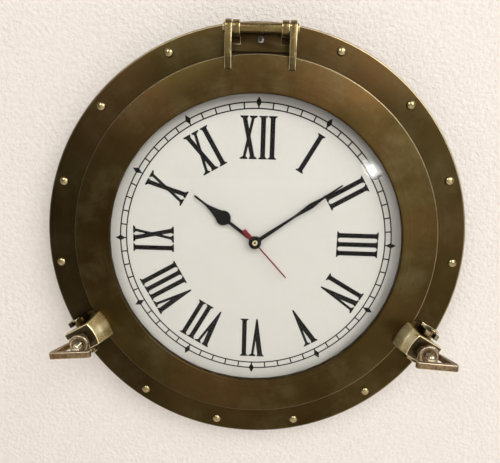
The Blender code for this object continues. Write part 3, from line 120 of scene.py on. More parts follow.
def buildPatina():
    # old brass: broad brown and olive clouds, small stains and faint lathe lines, with a face attribute for bright
    # worn edges and painted highlights, tarnish and painted shade
    group, given, result = newGroup("oldBrassPatina", [
        ("Dark", "Color", (0.05, 0.03, 0.01, 1)), ("Middle", "Color", (0.1, 0.07, 0.03, 1)),
        ("Light", "Color", (0.2, 0.15, 0.07, 1)), ("Warm", "Color", (0.14, 0.07, 0.03, 1)),
        ("Edge", "Color", (0.7, 0.55, 0.3, 1)), ("Shade", "Color", (0.03, 0.02, 0.01, 1)),
        ("Clouds", "Float", 16.0), ("Gloss", "Float", 0.35), ("Wear", "Float", 1.0), ("Lathe", "Float", 0.0),
        ("Stain", "Float", 0.35)])
    where = put(group, "TexCoord").outputs["Object"]
    clouds = noiseAt(group, where, given["Clouds"], 5.0, 0.6)
    drift = put(group, "VectorMath", {0: where, 1: (3.1, 1.7, 2.3)}, operation="ADD").outputs[0]
    blotch = noiseAt(group, drift, times(group, given["Clouds"], 2.7), 6.0, 0.65)
    stain = noiseAt(group, drift, 240.0, 4.0)
    flat = put(group, "SeparateXYZ", {0: where}).outputs
    warmth = noiseAt(group, drift, times(group, given["Clouds"], 0.8), 3.0, 0.5)
    warmth = plus(group, warmth, times(group, flat[2], 0.45))
    colour = mixColour(group, spread(group, clouds, 0.36, 0.62, 0.0, 1.0), given["Dark"], given["Middle"])
    colour = mixColour(group, spread(group, warmth, 0.48, 0.62, 0.0, 0.9), colour, given["Warm"])
    colour = mixColour(group, spread(group, blotch, 0.48, 0.75, 0.0, 0.7), colour, given["Light"])
    colour = mixColour(group, spread(group, stain, 0.56, 0.8, 0.0, given["Stain"]), colour, given["Dark"])
    reach = reckon(group, "SQRT", plus(group, times(group, flat[0], flat[0]), times(group, flat[2], flat[2])))
    spun = put(group, "CombineXYZ", {0: reach}).outputs[0]
    lines = times(group, noiseAt(group, spun, 1500.0, 3.0, 0.7), given["Lathe"])
    streaks = spread(group, noiseAt(group, spun, 420.0, 3.0, 0.6), 0.45, 0.75, 0.0, 0.5)
    colour = mixColour(group, times(group, streaks, given["Lathe"]), colour, given["Dark"])
    # the face attribute: above zero wear or painted highlight towards the edge colour, below zero tarnish or painted
    # shade towards the shade colour
    wearAndLight = put(group, "Attribute", attribute_name="wearAndLight").outputs["Fac"]
    rubAndLight = spread(group, noiseAt(group, where, 90.0, 5.0, 0.7), 0.3, 0.55, 0.72, 1.0)
    rubAndLight = times(group, times(group, reckon(group, "MAXIMUM", wearAndLight), rubAndLight), given["Wear"])
    colour = mixColour(group, reckon(group, "MAXIMUM", times(group, wearAndLight, -1.0)), colour, given["Shade"])
    colour = mixColour(group, rubAndLight, colour, given["Edge"])
    grain = noiseAt(group, where, 900.0, 3.0, 0.6)
    rough = plus(group, given["Gloss"], spread(group, blotch, 0.3, 0.7, -0.07, 0.1))
    rough = plus(group, rough, spread(group, grain, 0.3, 0.7, -0.03, 0.05))
    rough = reckon(group, "SUBTRACT", rough, times(group, rubAndLight, 0.12))
    height = plus(group, times(group, grain, 0.6), lines)
    height = plus(group, height, times(group, stain, 0.8))
    return putOut(group, result, colour, rough, height)


def buildSpeckle():
    # moulded, painted and printed faces: slow tint drift, fine speckle, grain in the gloss
    group, given, result = newGroup("fineSpeckle", [
        ("Base", "Color", (0.5, 0.5, 0.5, 1)), ("Tint", "Color", (0.4, 0.4, 0.4, 1)),
        ("Size", "Float", 600.0), ("Amount", "Float", 0.4), ("Gloss", "Float", 0.5)])
    where = put(group, "TexCoord").outputs["Object"]
    slow = noiseAt(group, where, 22.0, 3.0)
    fine = noiseAt(group, where, given["Size"], 4.0, 0.65)
    mask = plus(group, spread(group, slow, 0.35, 0.65, 0.0, 0.5), spread(group, fine, 0.4, 0.7, 0.0, 0.7))
    colour = mixColour(group, times(group, mask, given["Amount"]), given["Base"], given["Tint"])
    rough = plus(group, given["Gloss"], spread(group, fine, 0.3, 0.7, -0.06, 0.08))
    return putOut(group, result, colour, rough, fine)


patina = buildPatina()
speckle = buildSpeckle()


def newMaterial(name, group, feeds, bump, metallic=0.0, sockets=None):
    made, tree, shader = freshMaterial(name)
    effect = tree.nodes.new("ShaderNodeGroup")
    effect.node_tree = group
    for key, value in feeds.items():
        effect.inputs[key].default_value = value
    tree.links.new(effect.outputs["Color"], shader.inputs["Base Color"])
    tree.links.new(effect.outputs["Roughness"], shader.inputs["Roughness"])
    lift = put(tree, "Bump", {"Height": effect.outputs["Height"], "Strength": bump[0], "Distance": bump[1]})
    tree.links.new(lift.outputs[0], shader.inputs["Normal"])
    shader.inputs["Metallic"].default_value = metallic
    for key, value in (sockets or {}).items():
        shader.inputs[key].default_value = value
    return made


def brassLike(name, colours, clouds, gloss, wear, lathe, bump, metallic, stain=0.35):
    # colours are dark, middle, light, warm, worn edge or painted highlight, and tarnish or painted shade
    feeds = {"Clouds": clouds, "Gloss": gloss, "Wear": wear, "Lathe": lathe, "Stain": stain}
    for label, values in zip(("Dark", "Middle", "Light", "Warm", "Edge", "Shade"), colours):
        feeds[label] = (*values, 1.0)
    return newMaterial(name, patina, feeds, bump, metallic)


def speckled(name, base, tint, size, amount, gloss, bump, metallic=0.0, sockets=None):
    return newMaterial(name, speckle, {
        "Base": (*base, 1.0), "Tint": (*tint, 1.0), "Size": size, "Amount": amount, "Gloss": gloss},
        bump, metallic, sockets)


finishes = {
    "aged_brass": brassLike("agedBrass", [
        (0.042, 0.0255, 0.0055), (0.073, 0.0505, 0.015), (0.12, 0.094, 0.041), (0.09, 0.05, 0.017),
        (0.78, 0.66, 0.4), (0.02, 0.013, 0.005)], 11.0, 0.35, 0.9, 0.6, (0.1, 0.0002), 0.95),
    "bright_brass": brassLike("brightBrass", [
        (0.15, 0.11, 0.036), (0.195, 0.15, 0.055), (0.27, 0.215, 0.09), (0.185, 0.125, 0.045),
        (0.92, 0.83, 0.52), (0.055, 0.038, 0.014)], 34.0, 0.22, 1.0, 0.0, (0.008, 0.0002), 0.75, 0.12),
    "pale_brass": brassLike("paleBrass", [
        (0.19, 0.125, 0.04), (0.3, 0.22, 0.085), (0.44, 0.34, 0.15), (0.27, 0.17, 0.065),
        (0.95, 0.84, 0.52), (0.07, 0.045, 0.018)], 160.0, 0.2, 0.8, 0.0, (0.05, 0.0001), 0.92),
    "bronze": brassLike("bronzeCasting", [
        (0.13, 0.08, 0.036), (0.23, 0.155, 0.076), (0.37, 0.28, 0.165), (0.23, 0.125, 0.045),
        (0.95, 0.83, 0.62), (0.05, 0.032, 0.018)], 80.0, 0.27, 1.0, 0.0, (0.2, 0.0003), 0.62),
    "steel": brassLike("plainSteel", [
        (0.16, 0.16, 0.16), (0.28, 0.28, 0.28), (0.42, 0.42, 0.41), (0.26, 0.24, 0.22),
        (0.75, 0.75, 0.75), (0.05, 0.05, 0.05)], 80.0, 0.28, 0.5, 0.0, (0.1, 0.0001), 0.9),
    "dial_white": speckled("dialWhite", (0.49, 0.48, 0.445), (0.445, 0.435, 0.4), 500.0, 0.35, 0.55, (0.05, 0.0001)),
    "rubber": speckled("blackRubber", (0.03, 0.03, 0.03), (0.05, 0.05, 0.048), 700.0, 0.8, 0.7, (0.3, 0.0002)),
    "fibreboard": speckled("fibreboard", (0.26, 0.17, 0.1), (0.4, 0.29, 0.18), 420.0, 1.0, 0.75, (0.5, 0.0003)),
    "hand_black": speckled("blackPaint", (0.003, 0.0024, 0.0018), (0.006, 0.005, 0.004), 600.0, 0.6, 0.5,
                           (0.06, 0.0001), 0.0, {"Specular IOR Level": 0.05}),
    "hand_red": speckled("redPaint", (0.15, 0.004, 0.006), (0.1, 0.003, 0.004), 600.0, 0.6, 0.4, (0.06, 0.0001),
                         0.0, {"Specular IOR Level": 0.2}),
    "black_plastic": speckled("blackMoulding", (0.02, 0.02, 0.021), (0.035, 0.035, 0.036), 1400.0, 0.8, 0.5,
                              (0.5, 0.0002)),
    "white_plastic": speckled("naturalMoulding", (0.72, 0.71, 0.66), (0.62, 0.61, 0.56), 700.0, 0.5, 0.4,
                              (0.1, 0.0001)),
    "board_green": speckled("boardGreen", (0.03, 0.14, 0.06), (0.05, 0.2, 0.09), 300.0, 0.8, 0.35, (0.2, 0.0001)),
    "copper": speckled("copperWinding", (0.55, 0.24, 0.11), (0.4, 0.15, 0.07), 900.0, 0.7, 0.3, (0.6, 0.0002), 1.0),
    "battery_sleeve": speckled("batterySleeve", (0.03, 0.035, 0.045), (0.05, 0.055, 0.07), 250.0, 0.5, 0.25,
                               (0.05, 0.0001)),
}


def buildGlass():
    # clear pane that lets lamp light through unbent, so the dial is lit behind it
    made, tree, shader = freshMaterial("clearGlass")
    for key, value in {"Base Color": (1, 1, 1, 1), "Roughness": 0.02, "Metallic": 0.0, "IOR": 1.22,
                       "Transmission Weight": 1.0}.items():
        shader.inputs[key].default_value = value
    clear = put(tree, "BsdfTransparent", {"Color": (0.97, 0.98, 0.97, 1)})
    path = put(tree, "LightPath")
    showBlend(tree, path.outputs["Is Shadow Ray"], shader.outputs[0], clear.outputs[0])
    return made


finishes["glass"] = buildGlass()
boltFinish = brassLike("rubbedBolt", [
    (0.06, 0.042, 0.022), (0.12, 0.09, 0.05), (0.22, 0.18, 0.11), (0.12, 0.075, 0.04),
    (0.9, 0.8, 0.58), (0.03, 0.02, 0.01)], 90.0, 0.2, 1.0, 0.0, (0.03, 0.0001), 0.8)
# the lugs' polished brass, with painted light: its colours are brighter than the metal so the inner walls look lit
lugBrassAndLight = brassLike("polishedLugAndLight", [
    (0.4, 0.27, 0.08), (0.5, 0.355, 0.115), (0.64, 0.48, 0.19), (0.43, 0.28, 0.08),
    (1.0, 0.87, 0.52), (0.055, 0.038, 0.014)], 25.0, 0.25, 1.0, 0.0, (0.003, 0.0001), 0.66, 0.05)

# every carried-over node takes its slot's finish
for part in frame["record"]["subparts"]:
    mesh = frame["nodes"][part["node"]].data
    mesh.materials.clear()
    mesh.materials.append(finishes[part["material_slot"]])
print("finishes made:", len(finishes))


# mesh helpers

def newObject(name, data):
    made = bpy.data.objects.new(name, data)
    bpy.context.scene.collection.objects.link(made)
    return made


def newShape():
    shape = bmesh.new()
    shape.faces.layers.float.new("wearAndLight")
    return shape


def markWearAndLight(shape, test, amount=1.0):
    # amount above zero is rubbed bright or painted highlight and below zero tarnished or painted shade: a number, or
    # a function of reach and spot
    layer = shape.faces.layers.float["wearAndLight"]
    for face in shape.faces:
        middle = face.calc_center_median()
        reach = math.hypot(middle.x, middle.y)
        if test(reach, middle):
            face[layer] = amount(reach, middle) if callable(amount) else amount


def rimRubAndHighlight(faint, bright):
    # bright rim, partly wear and partly painted highlight: faint at the lower left, bright at the upper right where
    # the light falls
    return lambda reach, spot: faint + (bright - faint) * (0.5 + 0.37 * spot.x / reach + 0.33 * spot.y / reach) ** 1.5


def flangeDarkeningAndShade(reach, spot):
    # the flange is darkened evenly, and by painted shade most on its left, and a little more above and at its right
    # than below
    across, up = spot.x / reach, spot.y / reach
    return (-0.1 - 0.15 * max(0.0, up) - 0.55 * max(0.0, -0.97 * across - 0.24 * up) ** 3
            - 0.2 * max(0.0, 0.94 * across + 0.34 * up) ** 4)


def moveShape(shape, where):
    bmesh.ops.translate(shape, verts=shape.verts, vec=where)
    return shape


def turnShape(shape, angle, axis):
    # angle in radians about an axis through the drawing's middle
    bmesh.ops.rotate(shape, cent=(0, 0, 0), matrix=Matrix.Rotation(angle, 3, axis), verts=shape.verts)
    return shape


def cutAcross(shape, spot, facing):
    # new edges where the plane through spot meets the shape
    bmesh.ops.bisect_plane(shape, geom=shape.verts[:] + shape.edges[:] + shape.faces[:], dist=0.0001,
                           plane_co=spot, plane_no=facing)


def thicken(shape, across, low, high):
    # a flat face made into a block from low to high
    bmesh.ops.translate(shape, verts=shape.verts[:], vec=across * low)
    grown = bmesh.ops.extrude_face_region(shape, geom=shape.faces[:])
    lifted = [item for item in grown["geom"] if isinstance(item, bmesh.types.BMVert)]
    bmesh.ops.translate(shape, verts=lifted, vec=across * (high - low))


def mirrored(right):
    # the left half of an outline, then its right half back to the start
    return [(-a, *rest) for a, *rest in right] + right[::-1]


def turnedHalfRound(half):
    # an outline whose second half is the first turned half round
    return half + [(-a, -b, *rest) for a, b, *rest in half]


def drawFace(shape, corners, plane, steps):
    # corners are (a, b) or (a, b, rounding) in the named plane
    spots = {"XY": (0, 1, 2), "XZ": (0, 2, 1), "YZ": (1, 2, 0)}[plane]
    points, groups = [], {}
    for corner in corners:
        spot = [0.0, 0.0, 0.0]
        spot[spots[0]], spot[spots[1]] = corner[:2]
        points.append(shape.verts.new(spot))
        if len(corner) > 2 and corner[2]:
            groups.setdefault(corner[2], []).append(points[-1])
    shape.faces.new(points)
    for size, group in groups.items():
        bmesh.ops.bevel(shape, geom=group, affect="VERTICES", offset=size, segments=steps, profile=0.5, material=-1)


def turned(corners, steps, rounding=5):
    # a closed outline of (radius, height) turned about the front-to-back axis
    shape = newShape()
    drawFace(shape, corners, "XZ", rounding)
    bmesh.ops.delete(shape, geom=shape.faces[:], context="FACES_ONLY")
    bmesh.ops.spin(shape, geom=shape.verts[:] + shape.edges[:], cent=(0, 0, 0), axis=(0, 0, 1), dvec=(0, 0, 0),
                   angle=math.tau, steps=steps, use_merge=True, use_duplicate=False)
    return closeUp(shape)


def closeUp(shape):
    bmesh.ops.remove_doubles(shape, verts=shape.verts, dist=0.0005)
    loose = [edge for edge in shape.edges if not edge.link_faces]
    bmesh.ops.delete(shape, geom=loose, context="EDGES")
    bmesh.ops.recalc_face_normals(shape, faces=shape.faces)
    return shape


def slab(corners, low, high, plane="XY", rounding=5):
    # a flat outline given thickness from low to high across its plane
    shape = newShape()
    across = {"XY": Vector((0, 0, 1)), "XZ": Vector((0, 1, 0)), "YZ": Vector((1, 0, 0))}[plane]
    drawFace(shape, corners, plane, rounding)
    thicken(shape, across, low, high)
    return closeUp(shape)


def soften(shape, width, steps=2, sharper=50.0, test=None, wearAndLight=1.0):
    # rounds the sharp edges and gives the new faces their wear, or a painted highlight where a caller brightens them
    limit = math.radians(sharper)
    edges = [edge for edge in shape.edges if len(edge.link_faces) == 2 and edge.calc_face_angle(0.0) > limit
             and (test is None or test(edge))]
    made = bmesh.ops.bevel(shape, geom=edges, affect="EDGES", offset=width, segments=steps, profile=0.5,
                           material=-1, clamp_overlap=True)
    layer = shape.faces.layers.float["wearAndLight"]
    for face in made["faces"]:
        face[layer] = wearAndLight
    return shape


def join(shape, *others):
    # puts other meshes into the first, each a closed body of its own
    for other in others:
        mesh = bpy.data.meshes.new("joined")
        other.to_mesh(mesh)
        other.free()
        shape.from_mesh(mesh)
        bpy.data.meshes.remove(mesh)
    return shape


def carve(shape, other, how):
    # exact Boolean of two closed meshes
    holders = []
    for source in (shape, other):
        mesh = bpy.data.meshes.new("carving")
        source.to_mesh(mesh)
        source.free()
        holders.append(newObject("carving", mesh))
    tool = holders[0].modifiers.new("carve", "BOOLEAN")
    tool.operation, tool.solver, tool.object = how, "EXACT", holders[1]
    bpy.context.view_layer.update()
    done = holders[0].evaluated_get(bpy.context.evaluated_depsgraph_get())
    result = bmesh.new()
    result.from_mesh(done.to_mesh())
    for holder in holders:
        mesh = holder.data
        bpy.data.objects.remove(holder)
        bpy.data.meshes.remove(mesh)
    if not result.faces.layers.float.get("wearAndLight"):
        result.faces.layers.float.new("wearAndLight")
    bmesh.ops.remove_doubles(result, verts=result.verts, dist=0.0005)
    bmesh.ops.dissolve_limit(result, angle_limit=math.radians(0.5), verts=result.verts, edges=result.edges)
    return result


def rod(radius, low, high, steps):
    shape = newShape()
    bmesh.ops.create_circle(shape, cap_ends=True, segments=steps, radius=radius)
    thicken(shape, Vector((0, 0, 1)), low, high)
    bmesh.ops.recalc_face_normals(shape, faces=shape.faces)
    return shape


def finishPiece(name, shape, slot, body, replaced=(), place=onWall, finish=None):
    shape.transform(place)
    bmesh.ops.recalc_face_normals(shape, faces=shape.faces)
    mesh = bpy.data.meshes.new(name)
    shape.to_mesh(mesh)
    shape.free()
    mesh.shade_smooth()
    mesh.set_sharp_from_angle(angle=math.radians(32))
    mesh.materials.append(finish or finishes[slot])
    piece = newObject(name, mesh)
    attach(piece, body)
    if replaced:
        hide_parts(*replaced)


# base ring: heavy turned flange with a soft outer edge, a gasket groove and the dial's rebate
baseRing = {"outer": 190.5, "face": 32.0, "edge": 1.5, "skirtInner": 186.5, "flangeBack": 25.0,
            "groove": (155.3, 149.7, 30.0), "rebate": (146.3, 138.3, 27.6), "boss": (180.0, 5.0, 5.3), "steps": 256}


def buildBaseRing(size):
    outer, face, edge, back, skirt = (size[key] for key in ("outer", "face", "edge", "flangeBack", "skirtInner"))
    far, near, floor = size["groove"]
    wide, inner, ledge = size["rebate"]
    shape = turned([(outer, 0, 0.4), (outer, face, edge), (far, face, 0.3), (far, floor), (near, floor),
                    (near, face, 0.3), (wide, face, 0.3), (wide, ledge), (inner, ledge), (inner, back),
                    (skirt, back), (skirt, 0)], size["steps"])
    # painted shade on the flange face, darkest on the left
    markWearAndLight(shape, lambda reach, spot: spot.z > face - 0.1, flangeDarkeningAndShade)
    # worn outer edge with a painted highlight, brightest at the upper right
    markWearAndLight(shape, lambda reach, spot: reach > outer - edge and spot.z > face - edge, rimRubAndHighlight(0.05, 0.68))
    circle, radius, low = size["boss"]
    bosses = [rod(radius, low, back + 0.2, 24) for _ in range(4)]
    for turn, boss in enumerate(bosses):
        boss.transform(Matrix.Rotation(turn * math.pi / 2, 4, "Z") @ Matrix.Translation((circle, 0, 0)))
    return join(shape, *bosses)


finishPiece("baseRing", buildBaseRing(baseRing), "aged_brass", "base", ["base_ring"])

# rim screws: small slotted round heads, with every fifth station taken by the hinge or a dog
rimScrew = {"circle": 181.1, "seat": 32.0, "radius": 4.1, "height": 2.4, "slot": 0.35, "slotDepth": 0.25,
            "stations": 15, "taken": 5, "turn": 1.65}


def roundHead(radius, height, slotWidth, slotDepth, steps=28):
    # a domed screw head with its driver slot cut across
    dome = [(0, 0), (radius, 0)]
    for step in range(1, 8):
        angle = math.radians(step * 90 / 8)
        dome.append((radius * math.cos(angle), height * math.sin(angle)))
    dome.append((0, height))
    shape = turned(dome, steps)
    for side in (-1, 1):
        cutAcross(shape, (0, side * slotWidth / 2, 0), (0, 1, 0))
    floor = height - slotDepth
    cutAcross(shape, (0, 0, floor), (0, 0, 1))
    strip = [face for face in shape.faces
             if abs(face.calc_center_median().y) < slotWidth / 2 and face.calc_center_median().z > floor + 0.0001]
    grown = bmesh.ops.extrude_face_region(shape, geom=strip)
    for item in grown["geom"]:
        if isinstance(item, bmesh.types.BMVert):
            item.co.z = floor
    return closeUp(shape)


def buildRimScrews(size):
    freeStations = [station for station in range(size["stations"]) if station % size["taken"]]
    for number, station in enumerate(freeStations, 1):
        angle = math.radians(90 + 360 / size["stations"] * station + size["turn"])
        shape = roundHead(size["radius"], size["height"], size["slot"], size["slotDepth"])
        markWearAndLight(shape, lambda reach, spot: spot.z > size["height"] * 0.6, 0.35)
        place = (onWall @ Matrix.Rotation(angle, 4, "Z") @ Matrix.Translation((size["circle"], 0, size["seat"]))
                 @ Matrix.Rotation(number * 2.4, 4, "Z"))
        finishPiece("rimScrew%02d" % number, shape, "pale_brass", "base", ["rim_screw_%02d" % number], place)


buildRimScrews(rimScrew)

# door ring: broad face that rises gently to a soft inner lip
doorRing = {"outer": 162.65, "back": 33.0, "edgeFace": 42.1, "lip": 130.2, "lipFace": 44.2, "lipBack": 42.0,
            "seat": (137.0, 145.0, 38.3), "round": 1.4, "steps": 256}


def buildDoorRing(size):
    outer, lip, soft = size["outer"], size["lip"], size["round"]
    seat, bore, under = size["seat"]
    slope = (size["lipFace"] - size["edgeFace"]) / (outer - soft - lip - soft)
    shape = turned([(outer, size["back"], 0.3), (outer, size["edgeFace"] - slope * soft, soft),
                    (lip, size["lipFace"] + slope * soft, soft), (lip, size["lipBack"]), (seat, size["lipBack"]),
                    (seat, under), (bore, under), (bore, size["back"])], size["steps"], 7)
    # worn outer edge with a painted highlight, brightest at the upper right
    markWearAndLight(shape, lambda reach, spot: reach > outer - soft * 0.8 and spot.z > size["edgeFace"] - soft,
             rimRubAndHighlight(0.03, 0.8))
    markWearAndLight(shape, lambda reach, spot: reach < lip + soft * 0.7 and spot.z > size["lipFace"] - soft, -0.2)
    return shape


finishPiece("doorRing", buildDoorRing(doorRing), "aged_brass", "door", ["door_ring"])
print("rings and rim screws made")

# dial print: minute track, ticks, hour diamonds and Roman numerals, a thin raised ink film
dialPrint = {"bottom": 29.05, "top": 29.17, "circles": (124.5, 119.0), "line": 1.15, "tick": 1.2,
             "diamondHalf": (2.6, 4.8), "numeralFrom": 75.0, "numeralTo": 112.8}


def inkRing(middle, size):
    near, far = middle - size["line"] / 2, middle + size["line"] / 2
    low, high = size["bottom"], size["top"]
    return turned([(near, low), (far, low), (far, high), (near, high)], 180)


def inkShape(corners, size):
    return slab(corners, size["bottom"], size["top"], "XY", 4)


# letter outlines: serif height, bracket, stroke halves, foot half, half height and lean
def strokeI(serif=1.2, bracket=1.6, half=2.15, foot=3.8, tall=18.9):
    return turnedHalfRound([(foot, tall), (-foot, tall), (-foot, tall - serif), (-half, tall - serif, bracket),
                            (-half, serif - tall, bracket), (-foot, serif - tall)])


def strokeX(serif=1.2, bracket=2.5, thick=2.05, thin=1.35, foot=3.5, tall=18.9, lean=4.1):
    slope = lean / tall
    leg = tall - bracket

    def heavy(y, side):
        return -slope * y + side * thick, y

    def fine(y, side):
        return slope * y + side * thin, y

    return turnedHalfRound([
        (foot - lean, tall), (-foot - lean, tall), (-foot - lean, tall - serif), heavy(leg, -1),
        (-(thick + thin) / 2, (thin - thick) / (2 * slope)), fine(-leg, -1), (-foot - lean, serif - tall),
        (-foot - lean, -tall), (foot - lean, -tall), (foot - lean, serif - tall), fine(-leg, 1),
        ((thin - thick) / 2, -(thick + thin) / (2 * slope)), heavy(-leg, -1), (lean - foot, serif - tall)])


def strokeV(serif=1.2, bracket=2.5, thick=2.4, thin=1.25, foot=3.4, tall=18.9, lean=3.9, point=0.7):
    # heavy left leg and fine right leg that meet in a point at the bottom
    leg = tall - bracket

    def edge(top, bottom, y):
        return top + (bottom - top) * (tall - y) / (2 * tall), y

    left = (-lean - thick, -point)
    inner = (-lean + thick, -point + 2 * thick)
    far = (lean - thin, point - 2 * thin)
    right = (lean + thin, point)
    gap = (far[0] - inner[0]) / ((far[0] - inner[0]) + (inner[1] - far[1]))
    notch = (inner[0] + (inner[1] - inner[0]) * gap, tall - 2 * tall * gap)
    return [(foot - lean, tall), (-foot - lean, tall), (-foot - lean, tall - serif), edge(*left, leg),
            (-point, -tall), (point, -tall), edge(*right, leg), (lean + foot, tall - serif), (lean + foot, tall),
            (lean - foot, tall), (lean - foot, tall - serif), edge(*far, leg), notch, edge(*inner, leg),
            (foot - lean, tall - serif)]


# each letter's outline and half its width
letterForms = {"I": (strokeI, 4.15), "V": (strokeV, 7.6), "X": (strokeX, 8.7)}
numerals = ["XII", "I", "II", "III", "IV", "V", "VI", "VII", "VIII", "IX", "X", "XI"]


def buildDialPrint(size):
    shape = join(*(inkRing(circle, size) for circle in size["circles"]))
    middle = (size["numeralFrom"] + size["numeralTo"]) / 2
    inner, outer = size["circles"][1] + 0.3, size["circles"][0] - 0.3
    half = size["tick"] / 2
    across, along = size["diamondHalf"]
    for minute in range(60):
        tick = inkShape([(-half, inner), (half, inner), (half, outer), (-half, outer)], size)
        join(shape, turnShape(tick, -minute * math.tau / 60, "Z"))
    for hour, word in enumerate(numerals):
        turn = -hour * math.tau / 12
        centre = size["circles"][0]
        diamond = inkShape([(0, centre - along), (across, centre), (0, centre + along), (-across, centre)], size)
        join(shape, turnShape(diamond, turn, "Z"))
        start = -sum(letterForms[letter][1] for letter in word)
        for letter in word:
            form, reach = letterForms[letter]
            glyph = moveShape(inkShape(form(), size), (start + reach, middle, 0))
            join(shape, turnShape(glyph, turn, "Z"))
            start += reach * 2
    return shape


finishPiece("dialPrint", buildDialPrint(dialPrint), "hand_black", "base")
print("dial print made")


# hands: thin painted blades with soft edges
def easeThrough(points, steps):
    # a smooth run of points through the given key points
    line = []
    for spot in range(len(points) - 1):
        before, here = points[max(spot - 1, 0)], points[spot]
        after, later = points[spot + 1], points[min(spot + 2, len(points) - 1)]
        for step in range(steps):
            t = step / steps
            line.append(tuple(0.5 * (2 * b + (c - a) * t + (2 * a - 5 * b + 4 * c - d) * t * t
                                     + (3 * b - a - 3 * c + d) * t ** 3)
                              for a, b, c, d in zip(before, here, after, later)))
    return line + [points[-1]]


def arcPoints(centre, radius, start, end, steps):
    return [(centre[0] + radius * math.cos(math.radians(start + (end - start) * step / steps)),
             centre[1] + radius * math.sin(math.radians(start + (end - start) * step / steps)))
            for step in range(steps + 1)]


hourHand = {"clockAngle": 306.4, "back": 31.9, "front": 32.5, "hub": 5.0, "edge": 0.15,
            "half": [(1.5, 4.77), (1.5, 29.7)],
            "drop": ((0, 36.5), 6.9, -77, 44, 22),
            "tip": [(4.4, 42.4), (3.05, 47.2), (1.75, 52.4), (1.02, 57.5), (0.95, 68.4), (0.5, 69.2)]}
minuteHand = {"clockAngle": 54.7, "back": 33.4, "front": 34.0, "hub": 5.8, "edge": 0.15,
              "half": [(1.75, 5.53), (1.7, 14), (1.15, 38), (1.15, 45), (1.8, 53), (2.45, 59.5), (2.1, 64.5),
                       (1.2, 71), (0.9, 76), (0.75, 85), (0.65, 93.2), (0.3, 94.0)]}
secondHand = {"clockAngle": 137.5, "back": 34.9, "front": 35.5, "hub": 5.6, "edge": 0.12,
              "half": [(0.65, 5.56), (0.62, 42.9), (0.3, 43.4)],
              "tail": [(1.95, -5.25), (1.95, -15.6)]}


def buildHand(size):
    # the right side from the tip, round the hub and down the tail, then its mirror image
    tail = size.get("tail", [])
    if "drop" in size:
        half = size["half"] + arcPoints(*size["drop"]) + easeThrough(size["tip"], 4)
    else:
        half = size["half"] if tail else easeThrough(size["half"], 4)
    upper = math.degrees(math.atan2(half[0][1], half[0][0]))
    lower = math.degrees(math.atan2(tail[0][1], tail[0][0])) if tail else -90
    side = half[::-1] + arcPoints((0, 0), size["hub"], upper, lower, 14 if tail else 20)[1:-1] + tail
    outline = side + ([] if tail else [(0, -size["hub"])]) + [(-a, b) for a, b in reversed(side)]
    shape = slab(outline, size["back"], size["front"])
    front = size["front"]
    soften(shape, size["edge"], 2, 40.0,
           lambda edge: all(vert.co.z > front - 0.01 for vert in edge.verts), 0.0)
    return turnShape(shape, -math.radians(size["clockAngle"]), "Z")


finishPiece("hourHand", buildHand(hourHand), "hand_black", "hours", ["hour_hand"])
finishPiece("minuteHand", buildHand(minuteHand), "hand_black", "minutes", ["minute_hand"])
finishPiece("secondHand", buildHand(secondHand), "hand_red", "seconds", ["second_hand"])

# the seconds hub: black collar with a small brass cap on the arbor
secondHub = {"collar": (1.2, 5.75, 35.52, 35.85), "stem": (1.25, 34.5), "cap": (2.45, 35.87, 36.65),
             "rim": (1.3, 36.7), "dimple": (0.95, 36.35)}


def buildSecondHub(size):
    bore, radius, low, high = size["collar"]
    collar = turned([(bore, low), (radius, low), (radius, high, 0.2), (bore, high)], 64, 3)
    finishPiece("secondCollar", collar, "hand_black", "seconds")
    stem, back = size["stem"]
    radius, low, high = size["cap"]
    dimple, floor = size["dimple"]
    cap = turned([(0, back), (stem, back), (stem, low), (radius, low, 0.15), (radius, high, 0.25),
                  (*size["rim"], 0.2), (dimple, floor), (0, floor)], 48, 3)
    markWearAndLight(cap, lambda reach, spot: spot.z > floor - 0.05 and reach > dimple + 0.2)
    finishPiece("secondCap", cap, "pale_brass", "seconds", ["second_hand_cap"])


buildSecondHub(secondHub)
print("hands made")

# hinge: notched bracket, two knuckles, a thick pin and two arms from the door
hinge = {"plateBack": 32.3, "plateFront": 35.3, "soft": 0.45,
         "half": [(26, 164.9), (26, 171), (17.4, 171), (17.4, 176.5), (23.4, 176.5), (23.4, 187)],
         "axis": (182.5, 41.5), "hole": 4.4, "knuckle": (17.2, 23.4), "knuckleArc": (6.2, 203, -47),
         "knuckleFeet": [(176.8, 33.8), (186.7, 33.8)], "arm": (24.0, 29.6), "barrel": 6.5,
         "armUnder": [(149.5, 43.23), (161.4, 42.4), (161.5, 36.2), (173.0, 36.2)],
         "armOver": [(161.4, 46.8, 2.0), (149.5, 43.95)], "pin": 4.1, "pinHalf": 31.5,
         "armFade": [(148.0, 154.0, -0.8), (154.0, 158.5, -0.62), (158.5, 161.5, -0.3)]}
hingeScrew = {"at": 174.5, "radius": 3.1, "height": 1.5, "slot": 1.1, "slotDepth": 0.8, "turn": 0.5,
              "dark": 1.9, "bright": 2.8}


def pinHole(size, ends):
    return turnCrossways(rod(size["hole"], ends[0] - 1, ends[1] + 1, 48), size)


def turnCrossways(shape, size):
    # a rod along z laid along x on the hinge's axis
    return moveShape(turnShape(shape, math.pi / 2, "Y"), (0, *size["axis"]))


